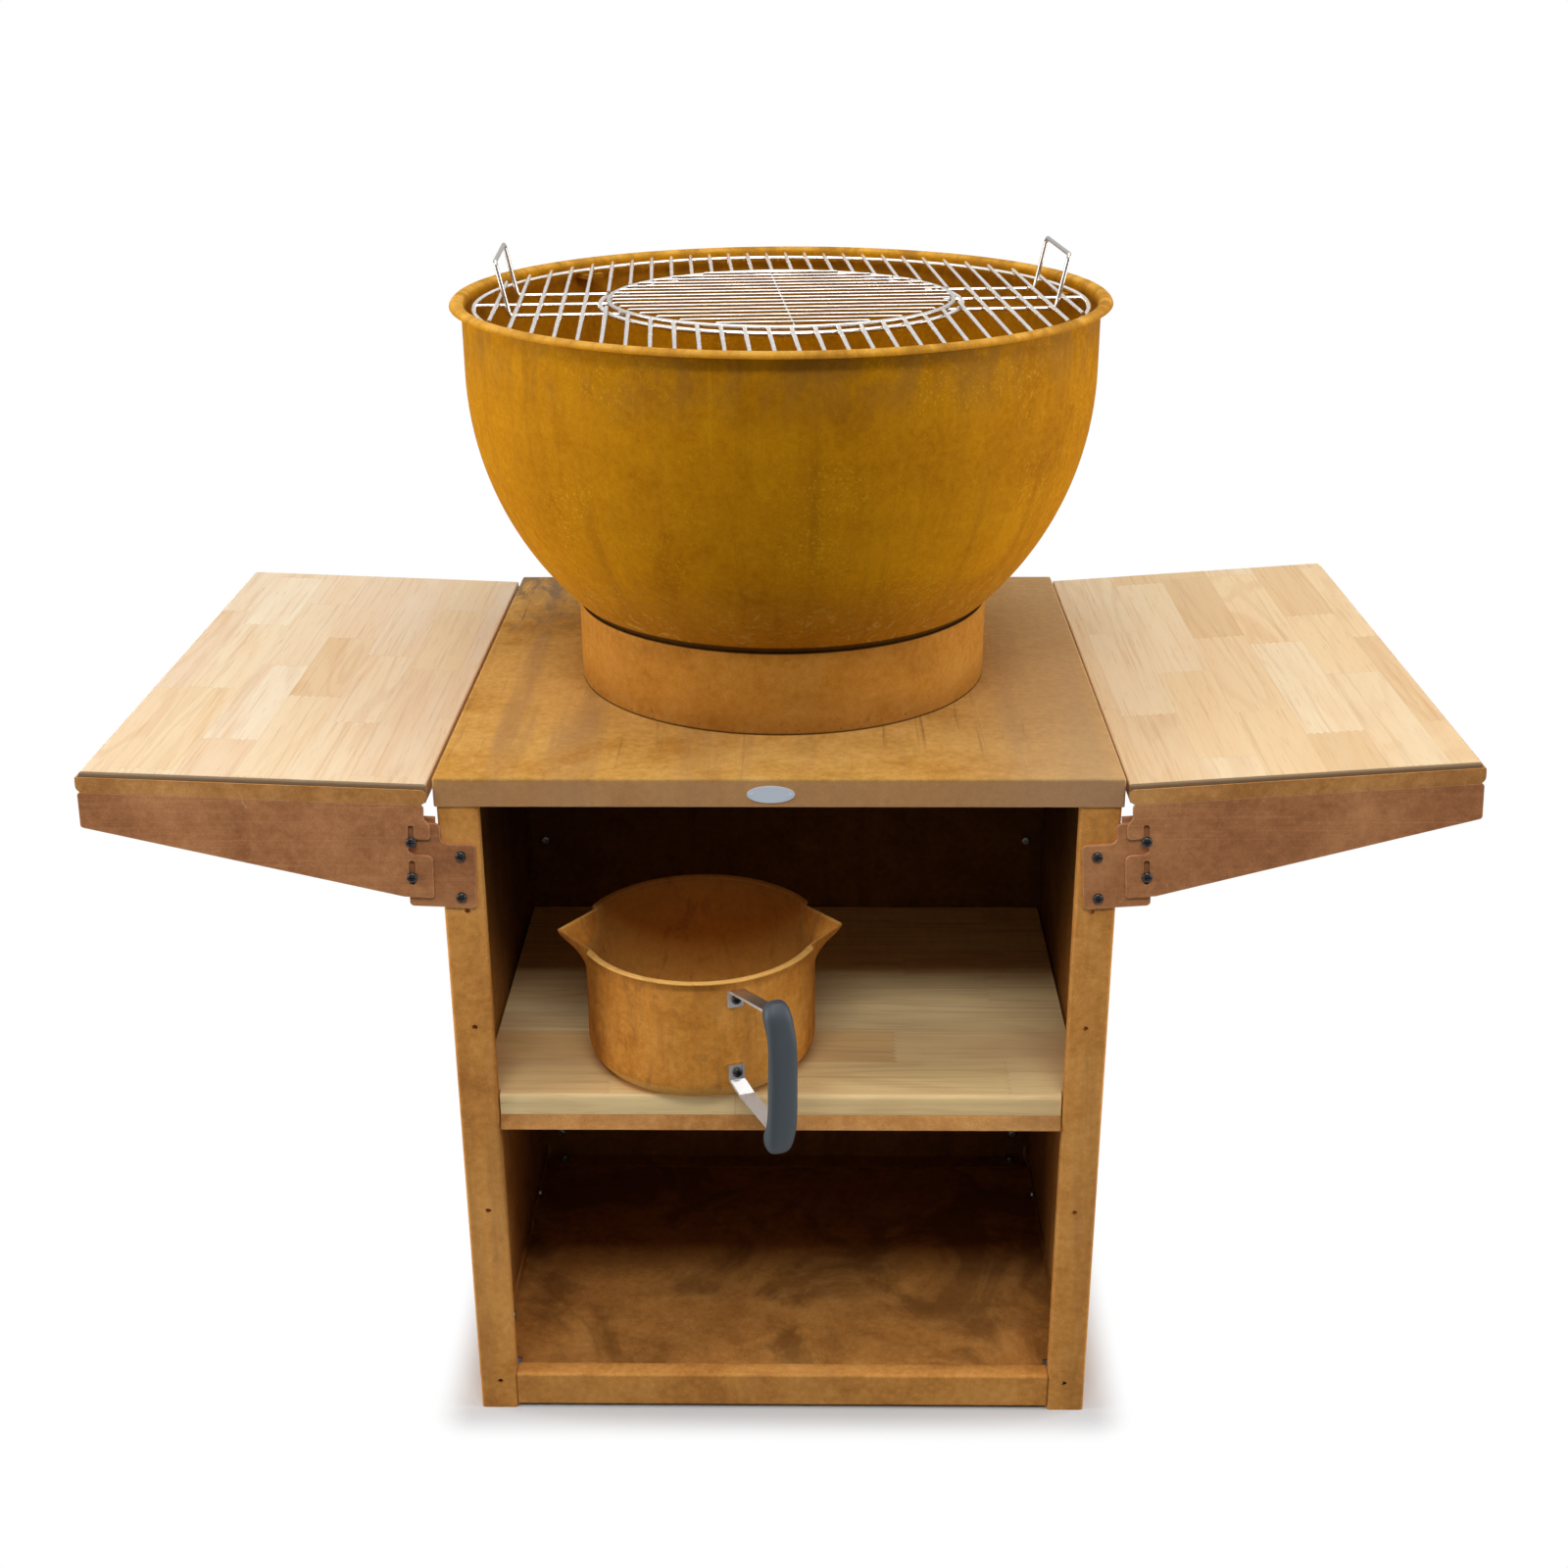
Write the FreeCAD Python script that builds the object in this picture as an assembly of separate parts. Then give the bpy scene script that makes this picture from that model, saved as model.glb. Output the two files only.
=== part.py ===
import FreeCAD, Part
import math
import os

V = FreeCAD.Vector
UP = V(0, 0, 1)
ALONG_X = V(1, 0, 0)
ALONG_Y = V(0, 1, 0)
ORIGIN = V(0, 0, 0)

# Driving dimensions, millimetres
TOP = 600.0            # top plate, square
HEIGHT = 678.0         # top face of the top plate
SKIRT = 27.0           # height of the skirts of the top plate
SHEET = 2.0            # weathering steel sheet
BEND = 1.0             # inner bend radius of folded sheet
POST_FACE = 36.0       # width of a post
POST_LIP = 12.0        # return lip beside the opening
FLOOR = 30.0           # top of the cabinet floor
RAIL = 41.0            # top of the front and rear rail
RAIL_GAP = 3.5         # rail above the ground
SIDE_IN = 281.0        # inner face of a side panel, from the middle
BACK = 105.0           # front face of the back panel
SHELF = 357.0          # top of the shelf board
SHELF_BOARD = 21.0     # thickness of the shelf board
COLLAR_R = 198.5       # outer radius of the collar ring
COLLAR_T = 3.0         # wall of the collar ring
COLLAR_H = 78.0        # height of the collar ring
BOWL_R = 295.0         # outer radius of the fire bowl
BOWL_T = 3.0           # wall of the fire bowl
RIM_Z = 1037.0         # centre of the rolled rim
ROLL_R = 5.5           # mean radius of the rolled rim
GRATE_R = 284.0        # centreline of the outer grate ring
GRATE_Z = 1034.0       # centreline height of the grate rings
GRATE_INNER_R = 168.0  # centreline of the inner grate ring
GRATE_PITCH = 20.15    # bar spacing of the main grate
GRATE_TURN = 4.0       # main grate as it lies, degrees
CENTRE_R = 160.0       # centreline of the centre grate ring
CENTRE_PITCH = 19.0    # bar spacing of the centre grate
CENTRE_TURN = 5.0      # centre grate as it lies, degrees
RING_WIRE = 2.5        # radius of the main grate's ring wire
BAR_WIRE = 2.0         # radius of the bar wire and of the centre ring
FINE_WIRE = 0.95       # radius of the centre grate bars
WELD = 0.5             # depth that crossing wires are welded into each other
PIVOT_U = 42.5         # table pins, outwards from the post screws
LOCK_V = 33.5          # upper pin above the post screws
PIVOT_V = -0.5         # lower pin, measured the same way
BRACKET_X = 280.0      # post screws from the middle
BRACKET_Z = 584.0      # mid height between the post screws
SCREW_V = 20.0         # post screws above and below that
TILT = {"left": 2.3, "right": 4.0}
TABLE_W = 300.0        # width of a table board
TABLE_D = 603.0        # depth of a table board
POT_R = 108.5          # outer radius of the pot
POT_H = 130.0          # height of the pot
POT_AT = V(-76.2, -204.0, SHELF + 0.3)
HANDLE_TURN = 19.7     # screws of the pot handle, from the front towards the right
SPOUT_TURN = 3.0       # pouring spouts, from the left-right line

# Sizes that follow
HALF = TOP / 2
POST_OUT = HALF - SHEET
POST_IN = POST_OUT - POST_FACE
RIM_IN_R = BOWL_R - BOWL_T
SEAT_GAP = 0.3
FREE = 0.3
PIN_GAP = 0.05

os.makedirs("parts", exist_ok=True)


def save(name, shape):
    shape.exportStep("parts/" + name + ".step")


def box(x0, x1, y0, y1, z0, z1):
    return Part.makeBox(x1 - x0, y1 - y0, z1 - z0, V(x0, y0, z0))


def rod(start, end, radius):
    return Part.makeCylinder(radius, (end - start).Length, start, end - start)


def tube(radius, wall, z0, z1):
    axis = V(0, 0, z0)
    outer = Part.makeCylinder(radius, z1 - z0, axis)
    return outer.cut(Part.makeCylinder(radius - wall, z1 - z0, axis))


def joined(shapes):
    whole = shapes[0]
    for shape in shapes[1:]:
        whole = whole.fuse(shape)
    return whole.removeSplitter()


def drilled(shape, holes):
    for hole in holes:
        shape = shape.cut(hole)
    return shape


def turned(shape, centre, axis, angle):
    shape = shape.copy()
    shape.rotate(centre, axis, angle)
    return shape


def moved(shape, offset):
    shape = shape.copy()
    shape.translate(offset)
    return shape


def mirrored_x(shape):
    return shape.mirror(ORIGIN, ALONG_X)


def mirrored_y(shape):
    return shape.mirror(ORIGIN, ALONG_Y)


def in_xy(z):
    return lambda p: V(p.x, p.y, z)


def in_xz(y):
    return lambda p: V(p.x, y, p.y)


def in_yz(x):
    return lambda p: V(x, p.x, p.y)


# Closed outline from corner points (u, v, corner radius)
def outline(points, place):
    corners = []
    count = len(points)
    for i in range(count):
        here = V(points[i][0], points[i][1], 0)
        radius = points[i][2]
        before = V(points[i - 1][0], points[i - 1][1], 0)
        after = V(points[(i + 1) % count][0], points[(i + 1) % count][1], 0)
        if radius == 0:
            corners.append((here, None, here))
            continue
        back = (before - here).normalize()
        ahead = (after - here).normalize()
        half = back.getAngle(ahead) / 2
        reach = radius / math.tan(half)
        middle = here + (back + ahead).normalize() * (radius / math.sin(half) - radius)
        corners.append((here + back * reach, middle, here + ahead * reach))
    edges = []
    for i in range(count):
        first, middle, last = corners[i]
        following = corners[(i + 1) % count][0]
        if middle is not None:
            edges.append(Part.Arc(place(first), place(middle), place(last)).toShape())
        if (following - last).Length > 1e-6:
            edges.append(Part.makeLine(place(last), place(following)))
    return Part.Wire(edges)


def slab(points, place, direction):
    return Part.Face(outline(points, place)).extrude(direction)


# Outline of a folded sheet: the path is one face, the sheet lies to its left
def folded(path, thickness=SHEET, bend=BEND):
    near = []
    far = []
    for i in range(len(path)):
        here = V(path[i][0], path[i][1], 0)
        sides = []
        if i > 0:
            sides.append((here - V(path[i - 1][0], path[i - 1][1], 0)).normalize())
        if i < len(path) - 1:
            sides.append((V(path[i + 1][0], path[i + 1][1], 0) - here).normalize())
        normals = [V(-side.y, side.x, 0) for side in sides]
        if len(sides) == 1:
            shift = normals[0] * thickness
            radii = (0, 0)
        else:
            spread = 1 + normals[0].dot(normals[1])
            shift = (normals[0] + normals[1]) * (thickness / spread)
            left_turn = sides[0].cross(sides[1]).z > 0
            radii = (bend + thickness, bend) if left_turn else (bend, bend + thickness)
        near.append((here.x, here.y, radii[0]))
        far.append((here.x + shift.x, here.y + shift.y, radii[1]))
    return near + far[::-1]


# Bent round wire through corner points
def wire_rod(points, radius, bend):
    edges = []
    last = points[0]
    for i in range(1, len(points) - 1):
        back = (points[i - 1] - points[i]).normalize()
        ahead = (points[i + 1] - points[i]).normalize()
        half = back.getAngle(ahead) / 2
        reach = bend / math.tan(half)
        middle = points[i] + (back + ahead).normalize() * (bend / math.sin(half) - bend)
        start = points[i] + back * reach
        end = points[i] + ahead * reach
        if (start - last).Length > 1e-6:
            edges.append(Part.makeLine(last, start))
        edges.append(Part.Arc(start, middle, end).toShape())
        last = end
    edges.append(Part.makeLine(last, points[-1]))
    path = Part.Wire(edges)
    section = Part.Wire(Part.makeCircle(radius, points[0], points[1] - points[0]))
    return path.makePipeShell([section], True, True)


# Pan-head screw with a cross recess: its seat lies at the given point, the shank runs along the direction
HEAD_R = {5: 4.75, 6: 5.25}
HEAD_H = {5: 2.75, 6: 3.3}
HEAD_ROUND = 0.7
CROSS_LONG = {5: 5.0, 6: 6.0}
CROSS_WIDE = {5: 1.1, 6: 1.4}
CROSS_DEEP = 1.6


def cross_recess(size, top, direction):
    half_long = CROSS_LONG[size] / 2
    half_wide = CROSS_WIDE[size] / 2
    arm = box(-half_long, half_long, -half_wide, half_wide, -1, CROSS_DEEP)
    recess = joined([arm, turned(arm, ORIGIN, UP, 90)])
    recess.Placement = FreeCAD.Placement(top, FreeCAD.Rotation(UP, direction))
    return recess


def hexagon(radius, centre, direction, depth):
    prism = Part.Face(Part.makePolygon(
        [V(radius * math.cos(math.pi * k / 3), radius * math.sin(math.pi * k / 3), 0) for k in range(7)]
    )).extrude(UP * depth)
    prism.Placement = FreeCAD.Placement(centre, FreeCAD.Rotation(UP, direction))
    return prism


def screw(size, seat, direction, length, shank_r=None):
    unit = V(direction).normalize()
    head = Part.makeCylinder(HEAD_R[size], HEAD_H[size], seat, unit * -1)
    crown = [edge for edge in head.Edges if edge.Closed and abs((edge.CenterOfMass - seat).dot(unit)) > 1]
    head = head.makeFillet(HEAD_H[size] * HEAD_ROUND, crown)
    head = head.cut(cross_recess(size, seat - unit * HEAD_H[size], unit))
    shank = Part.makeCylinder(shank_r or size / 2, length, seat, unit)
    return head.fuse(shank).removeSplitter()


NUT_R = {5: 4.6, 6: 5.7}
NUT_H = {5: 4.0, 6: 5.0}


def nut(size, seat, direction):
    body = hexagon(NUT_R[size], seat, direction, NUT_H[size])
    bore = Part.makeCylinder(size / 2 + PIN_GAP, NUT_H[size], seat, direction)
    return body.cut(bore)


# Drills: a plain one, and one with the clearance of a screw size
DRILL_REACH = 20.0


def drill(radius, centre, direction):
    unit = V(direction).normalize()
    return Part.makeCylinder(radius, 2 * DRILL_REACH, centre - unit * DRILL_REACH, unit)


def hole(size, centre, direction):
    return drill(size / 2 + FREE, centre, direction)


SIDES = ("left", "right")
ENDS = ("front", "rear")


# Table brackets: a level frame about the post screws, then tilted as the tables stand
def tilted(shape, side):
    pivot = V(BRACKET_X, 0, BRACKET_Z)
    shape = turned(shape, pivot, ALONG_Y, -TILT[side])
    return mirrored_x(shape) if side == "left" else shape


def from_front(shape, end):
    return mirrored_y(shape) if end == "rear" else shape


def local(u, v, y):
    return V(BRACKET_X + u, y, BRACKET_Z + v)


def in_bracket(y):
    return lambda p: local(p.x, p.y, y)


# Corner posts
POST_HOLE_X = 278.0
POST_HOLE_R = 2.5
POST_RETURN = 16.0
POST_HOLE_Z = (32.0, 232.0, 431.0)
SPARE_HOLE = (277.0, 549.0)
TAB_AT = 280.0
FOOT_HOLE_R = 4.5
POST_TOP = HEIGHT - SHEET
PANEL_BOLT_X = 289.5
PANEL_BOLT_Z = (120.0, 560.0)
post_side = POST_OUT - POST_FACE
post_path = [
    (POST_IN, -POST_OUT + POST_LIP),
    (POST_IN, -POST_OUT),
    (POST_OUT, -POST_OUT),
    (POST_OUT, -post_side),
    (POST_OUT - POST_RETURN, -post_side),
]
pocket = (POST_IN + SHEET, POST_OUT - SHEET)
post_shell = slab(folded(post_path), in_xy(0), UP * POST_TOP)
tabs = []
for z in (0, POST_TOP - SHEET):
    tabs.append(box(pocket[0], pocket[1], -pocket[1], -pocket[0], z, z + SHEET))
bare_post = joined([post_shell] + tabs)
tab_axis = V(TAB_AT, -TAB_AT, 0)
bare_post = drilled(bare_post, [
    drill(FOOT_HOLE_R, tab_axis, UP),
    hole(6, tab_axis + UP * POST_TOP, UP),
])
for z in PANEL_BOLT_Z:
    bare_post = bare_post.cut(hole(6, V(PANEL_BOLT_X, -post_side, z), ALONG_Y))
for side in SIDES:
    for end in ENDS:
        post = bare_post
        if end == "front":
            spots = [(POST_HOLE_X, z) for z in POST_HOLE_Z] + [SPARE_HOLE]
            for x, z in spots:
                post = post.cut(drill(POST_HOLE_R, V(x, -POST_OUT, z), ALONG_Y))
        post = from_front(post, end)
        if side == "left":
            post = mirrored_x(post)
        for v in (-SCREW_V, SCREW_V):
            bore = hole(5, local(0, v, -POST_OUT), ALONG_Y)
            post = post.cut(tilted(from_front(bore, end), side))
        save(side + "_" + end + "_post", post)

# Side panels, ends folded outwards against the post returns
PANEL_LOW = 5.0
PANEL_GAP = 2.0
PANEL_TOP = POST_TOP - SHEET - PANEL_GAP
PANEL_FOLD = 14.0
ANGLE = 25.0
ANGLE_BOLT_Z = (180.0, 540.0)
ANGLE_BOLT_IN = 15.0
angle_bolt_y = BACK + SHEET + ANGLE_BOLT_IN
shelf_under = SHELF - SHELF_BOARD
SHELF_BOLT_Y = (-180.0, 60.0)
SHELF_BOLT_LOW = 8.0
shelf_bolt_z = shelf_under - SHELF_BOLT_LOW
TRAY_BOLT_Y = (-200.0, 20.0)
TRAY_BOLT_UP = 7.0
tray_bolt_z = FLOOR + TRAY_BOLT_UP
panel_path = [
    (SIDE_IN + PANEL_FOLD, post_side),
    (SIDE_IN, post_side),
    (SIDE_IN, -post_side),
    (SIDE_IN + PANEL_FOLD, -post_side),
]
panel = slab(folded(panel_path), in_xy(PANEL_LOW), UP * (PANEL_TOP - PANEL_LOW))
side_bolts = [(angle_bolt_y, z) for z in ANGLE_BOLT_Z]
side_bolts += [(y, shelf_bolt_z) for y in SHELF_BOLT_Y]
side_bolts += [(y, tray_bolt_z) for y in TRAY_BOLT_Y]
for y, z in side_bolts:
    panel = panel.cut(hole(6, V(SIDE_IN, y, z), ALONG_X))
for y in (-post_side, post_side):
    for z in PANEL_BOLT_Z:
        panel = panel.cut(hole(6, V(PANEL_BOLT_X, y, z), ALONG_Y))
save("right_side_panel", panel)
save("left_side_panel", mirrored_x(panel))

# Back panel: foot folded forward on the floor, top folded back
FOOT = 22.0
BACK_TOP = 672.0
BACK_BOLT_Z = (63.0, 437.0)
BACK_BOLT_X = 263.0
FLOOR_BOLT_X = 259.0
FLANGE = 14.0
floor_bolt_y = BACK - FOOT / 2
BACK_CLEAR = 0.5
NOTCH_WIDE = 4.0
back_half = SIDE_IN - BACK_CLEAR
back_path = [
    (BACK - FOOT, FLOOR),
    (BACK + SHEET, FLOOR),
    (BACK + SHEET, BACK_TOP - SHEET),
    (BACK + SHEET + FLANGE, BACK_TOP - SHEET),
]
back = slab(folded(back_path), in_yz(-back_half), ALONG_X * (2 * back_half))
for sx in (-1, 1):
    for z in BACK_BOLT_Z:
        back = back.cut(hole(6, V(sx * BACK_BOLT_X, BACK, z), ALONG_Y))
    back = back.cut(hole(6, V(sx * FLOOR_BOLT_X, floor_bolt_y, FLOOR), UP))
    notch_top = FLOOR + FLANGE + SHEET
    notch = box(back_half - NOTCH_WIDE, HALF, BACK - FOOT - 1, BACK + SHEET + 1, FLOOR - 1, notch_top)
    back = back.cut(notch if sx > 0 else mirrored_x(notch))
save("back_panel", back)

# Corner angles behind the back panel
ANGLE_LOW = 50.0
ANGLE_TOP = 640.0
angle_path = [
    (SIDE_IN - ANGLE, BACK + SHEET),
    (SIDE_IN, BACK + SHEET),
    (SIDE_IN, BACK + SHEET + ANGLE),
]
angle = slab(folded(angle_path), in_xy(ANGLE_LOW), UP * (ANGLE_TOP - ANGLE_LOW))
for z in BACK_BOLT_Z:
    angle = angle.cut(hole(6, V(BACK_BOLT_X, BACK, z), ALONG_Y))
for z in ANGLE_BOLT_Z:
    angle = angle.cut(hole(6, V(SIDE_IN, angle_bolt_y, z), ALONG_X))
save("corner_angles", Part.makeCompound([angle, mirrored_x(angle)]))

# Bottom tray: floor with a rail at the front and at the rear
RAIL_CLEAR = 0.5
RAIL_HALF = POST_IN - RAIL_CLEAR
WING_LAP = 5.0
RAIL_DEEP = 19.0
RAIL_FOOT = 14.0
rail_in = POST_OUT - RAIL_DEEP
tray_path = [
    (-POST_OUT + RAIL_FOOT, RAIL_GAP),
    (-POST_OUT, RAIL_GAP),
    (-POST_OUT, RAIL),
    (-rail_in, RAIL),
    (-rail_in, FLOOR),
    (rail_in, FLOOR),
    (rail_in, RAIL),
    (POST_OUT, RAIL),
    (POST_OUT, RAIL_GAP),
    (POST_OUT - RAIL_FOOT, RAIL_GAP),
]
tray = slab(folded(tray_path[::-1]), in_yz(-RAIL_HALF), ALONG_X * (2 * RAIL_HALF))
tray_end = post_side - SHEET - PANEL_GAP
wing_path = [
    (RAIL_HALF - WING_LAP, FLOOR - SHEET),
    (SIDE_IN, FLOOR - SHEET),
    (SIDE_IN, FLOOR + FLANGE),
]
wing = slab(folded(wing_path), in_xz(-tray_end), ALONG_Y * (2 * tray_end))
tray = joined([tray, wing, mirrored_x(wing)])
for sx in (-1, 1):
    for y in TRAY_BOLT_Y:
        tray = tray.cut(hole(6, V(sx * SIDE_IN, y, tray_bolt_z), ALONG_X))
    tray = tray.cut(hole(6, V(sx * FLOOR_BOLT_X, floor_bolt_y, FLOOR), UP))
save("bottom_tray", tray)

# Shelf tray with a slanted front lip, and the board on it
SHELF_FRONT = 293.0
LIP_OUT = 6.0
LIP_DOWN = 13.0
SHELF_SHEET = 1.5
LIP_CLEAR = 1.5
SHELF_CLEAR = 1.0
BOARD_CLEAR = 2.5
shelf_back = BACK - BACK_CLEAR
shelf_narrow = POST_IN - LIP_CLEAR
shelf_step = POST_OUT - POST_LIP - PANEL_GAP
wing_front = -post_side + SHEET + SHELF_CLEAR
shelf_path = [
    (shelf_back, shelf_under - FLANGE),
    (shelf_back, shelf_under),
    (-SHELF_FRONT, shelf_under),
    (-SHELF_FRONT - LIP_OUT, shelf_under - LIP_DOWN),
]
shelf = slab(folded(shelf_path, SHELF_SHEET), in_yz(-shelf_narrow), ALONG_X * (2 * shelf_narrow))
wing_path = [
    (SIDE_IN, shelf_under - FLANGE),
    (SIDE_IN, shelf_under),
    (shelf_narrow - WING_LAP, shelf_under),
]
wing = slab(folded(wing_path, SHELF_SHEET), in_xz(wing_front), ALONG_Y * (shelf_back - wing_front))
shelf = joined([shelf, wing, mirrored_x(wing)])
for sx in (-1, 1):
    for y in SHELF_BOLT_Y:
        shelf = shelf.cut(hole(6, V(sx * SIDE_IN, y, shelf_bolt_z), ALONG_X))
save("shelf_tray", shelf)

BOARD_ROUND = 5.0
board_half = SIDE_IN - BOARD_CLEAR
return_in = POST_OUT - POST_RETURN - LIP_CLEAR
board = box(-board_half, board_half, -SHELF_FRONT, BACK - BOARD_CLEAR, shelf_under, SHELF)
corner = box(shelf_narrow, HALF, -HALF, -shelf_step, shelf_under, SHELF)
side_gap = box(return_in, HALF, -HALF, wing_front, shelf_under, SHELF)
board = drilled(board, [corner, side_gap, mirrored_x(corner), mirrored_x(side_gap)])
front_edges = [
    edge for edge in board.Edges
    if abs(edge.CenterOfMass.y + SHELF_FRONT) < 0.01 and abs(edge.CenterOfMass.x) < 0.01
]
board = board.makeFillet(BOARD_ROUND, [edge for edge in front_edges if edge.CenterOfMass.z > SHELF - 1])
save("shelf_board", board)

# Top plate: a cap with four skirts, on four weld studs
EDGE_ROUND = 2.5
top = box(-HALF, HALF, -HALF, HALF, HEIGHT - SKIRT, HEIGHT)
rounded_edges = [edge for edge in top.Edges if edge.CenterOfMass.z > HEIGHT - SKIRT + 0.1]
top = top.makeFillet(EDGE_ROUND, rounded_edges)
inner = HALF - SHEET
top = top.cut(box(-inner, inner, -inner, inner, HEIGHT - SKIRT - 1, HEIGHT - SHEET))
NAME_X = -6.5
NAME_Z = 663.0
NAME_PIN = 17.0
NAME_PIN_R = 1.0
NAME_PIN_LONG = 5.2
name_pins = [V(NAME_X + sx * NAME_PIN, -HALF, NAME_Z) for sx in (-1, 1)]
for pin in name_pins:
    top = top.cut(drill(NAME_PIN_R + PIN_GAP, pin, ALONG_Y))
save("top_plate", top)
STUD_LONG = 14.0
studs = []
stud_nuts = []
for sx in (-1, 1):
    for sy in (-1, 1):
        at = V(sx * TAB_AT, sy * TAB_AT, HEIGHT - SHEET)
        studs.append(Part.makeCylinder(3, STUD_LONG, at, UP * -1))
        stud_nuts.append(nut(6, at - UP * SHEET, UP * -1))
save("top_plate_studs", Part.makeCompound(studs))
save("top_plate_nuts", Part.makeCompound(stud_nuts))

# Blank oval name plate and its pins
NAME_LONG = 41.6
NAME_HIGH = 15.6
NAME_THICK = 1.2
NAME_HEAD_R = 1.3
NAME_HEAD_H = 0.6
oval = Part.Ellipse(ORIGIN, NAME_LONG / 2, NAME_HIGH / 2).toShape()
oval.rotate(ORIGIN, ALONG_X, 90)
oval.translate(V(NAME_X, -HALF, NAME_Z))
name_plate = Part.Face(Part.Wire(oval)).extrude(ALONG_Y * -NAME_THICK)
pins = []
for pin in name_pins:
    name_plate = name_plate.cut(drill(NAME_PIN_R + PIN_GAP, pin, ALONG_Y))
    seat = pin - ALONG_Y * NAME_THICK
    head = Part.makeCylinder(NAME_HEAD_R, NAME_HEAD_H, seat, ALONG_Y * -1)
    pins.append(joined([head, Part.makeCylinder(NAME_PIN_R, NAME_PIN_LONG, seat, ALONG_Y)]))
save("name_plate", name_plate)
save("name_plate_pins", Part.makeCompound(pins))

# Collar ring welded on the top plate
collar_top = HEIGHT + COLLAR_H
save("collar_ring", tube(COLLAR_R, COLLAR_T, HEIGHT, collar_top))

# Fire bowl, spun, with a rolled rim; it rests on the inner edge of the collar ring
seat_r = COLLAR_R - COLLAR_T
bowl_z = collar_top + math.sqrt((BOWL_R + SEAT_GAP) ** 2 - seat_r ** 2)
roll_x = BOWL_R - BOWL_T / 2 + ROLL_R
roll_in = ROLL_R - BOWL_T / 2
roll_out = ROLL_R + BOWL_T / 2
ROLL_END = 15.0


def on_arc(radius, centre_x, centre_z, degrees):
    angle = math.radians(degrees)
    return V(centre_x + radius * math.cos(angle), 0, centre_z + radius * math.sin(angle))


def arc(radius, centre_x, centre_z, start, end):
    middle = (start + end) / 2
    points = [on_arc(radius, centre_x, centre_z, degrees) for degrees in (start, middle, end)]
    return Part.Arc(*points).toShape()


bowl_edges = [
    arc(RIM_IN_R, 0, bowl_z, -90, 0),
    Part.makeLine(V(RIM_IN_R, 0, bowl_z), V(RIM_IN_R, 0, RIM_Z)),
    arc(roll_out, roll_x, RIM_Z, 180, ROLL_END),
    Part.makeLine(on_arc(roll_out, roll_x, RIM_Z, ROLL_END), on_arc(roll_in, roll_x, RIM_Z, ROLL_END)),
    arc(roll_in, roll_x, RIM_Z, ROLL_END, 180),
    Part.makeLine(V(BOWL_R, 0, RIM_Z), V(BOWL_R, 0, bowl_z)),
    arc(BOWL_R, 0, bowl_z, 0, -90),
    Part.makeLine(V(0, 0, bowl_z - BOWL_R), V(0, 0, bowl_z - RIM_IN_R)),
]
bowl = Part.Face(Part.Wire(bowl_edges)).revolve(ORIGIN, UP, 360)
save("bowl_shell", bowl)

# Lugs inside the bowl that carry the main grate
LUG_WIDE = 22.0
LUG_THICK = 4.0
LUG_DEEP = 20.0
LUG_AT = (15.0, 135.0, 255.0)
lug_top = GRATE_Z - RING_WIRE - SEAT_GAP
lug = box(RIM_IN_R - LUG_DEEP, BOWL_R, -LUG_WIDE / 2, LUG_WIDE / 2, lug_top - LUG_THICK, lug_top)
lug = lug.common(Part.makeCylinder(RIM_IN_R, LUG_THICK, V(0, 0, lug_top - LUG_THICK)))
save("grate_lugs", Part.makeCompound([turned(lug, ORIGIN, UP, angle) for angle in LUG_AT]))

# Main grate: two rings, bars from front to rear, cross wires, two handles, seats inside the inner ring
BAR_IN = 5.0
SEAT_REACH = 8.0
HANDLE_Y = 57.0
HANDLE_FOOT = 247.5
HANDLE_RISE = 48.0
HANDLE_LEAN = 10.5
HANDLE_BEND = 4.5


def grate_piece(name, shapes, turn=GRATE_TURN):
    save(name, Part.makeCompound([turned(shape, ORIGIN, UP, turn) for shape in shapes]))


def chord(radius, offset):
    return math.sqrt(radius ** 2 - offset ** 2)


grate_centre = V(0, 0, GRATE_Z)
bar_z = GRATE_Z + RING_WIRE + BAR_WIRE - WELD
grate_piece("grate_outer_ring", [Part.makeTorus(GRATE_R, RING_WIRE, grate_centre)])
grate_piece("grate_inner_ring", [Part.makeTorus(GRATE_INNER_R, RING_WIRE, grate_centre)])
bars = []
last_bar = int(GRATE_R / GRATE_PITCH) - 1
for k in range(-last_bar, last_bar + 1):
    x = k * GRATE_PITCH
    far = chord(GRATE_R, x) + RING_WIRE
    if abs(x) < GRATE_INNER_R:
        near = chord(GRATE_INNER_R, x) - BAR_IN
        bars.append(rod(V(x, near, bar_z), V(x, far, bar_z), BAR_WIRE))
        bars.append(rod(V(x, -near, bar_z), V(x, -far, bar_z), BAR_WIRE))
    else:
        bars.append(rod(V(x, -far, bar_z), V(x, far, bar_z), BAR_WIRE))
grate_piece("grate_bars", bars)
cross_in = GRATE_INNER_R + RING_WIRE - WELD
cross_out = GRATE_R - RING_WIRE + WELD
cross = rod(V(cross_in, 0, GRATE_Z), V(cross_out, 0, GRATE_Z), BAR_WIRE)
grate_piece("grate_cross_wires", [cross, mirrored_x(cross)])
seats = []
for y in (-HANDLE_Y, 0, HANDLE_Y):
    seat_out = chord(GRATE_INNER_R - RING_WIRE + WELD, y)
    seat_in = chord(CENTRE_R, y) - SEAT_REACH
    seat = rod(V(seat_in, y, GRATE_Z), V(seat_out, y, GRATE_Z), BAR_WIRE)
    seats += [seat, mirrored_x(seat)]
grate_piece("grate_seats", seats)
root = chord(GRATE_INNER_R, HANDLE_Y) + RING_WIRE - WELD
handle_points = []
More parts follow.
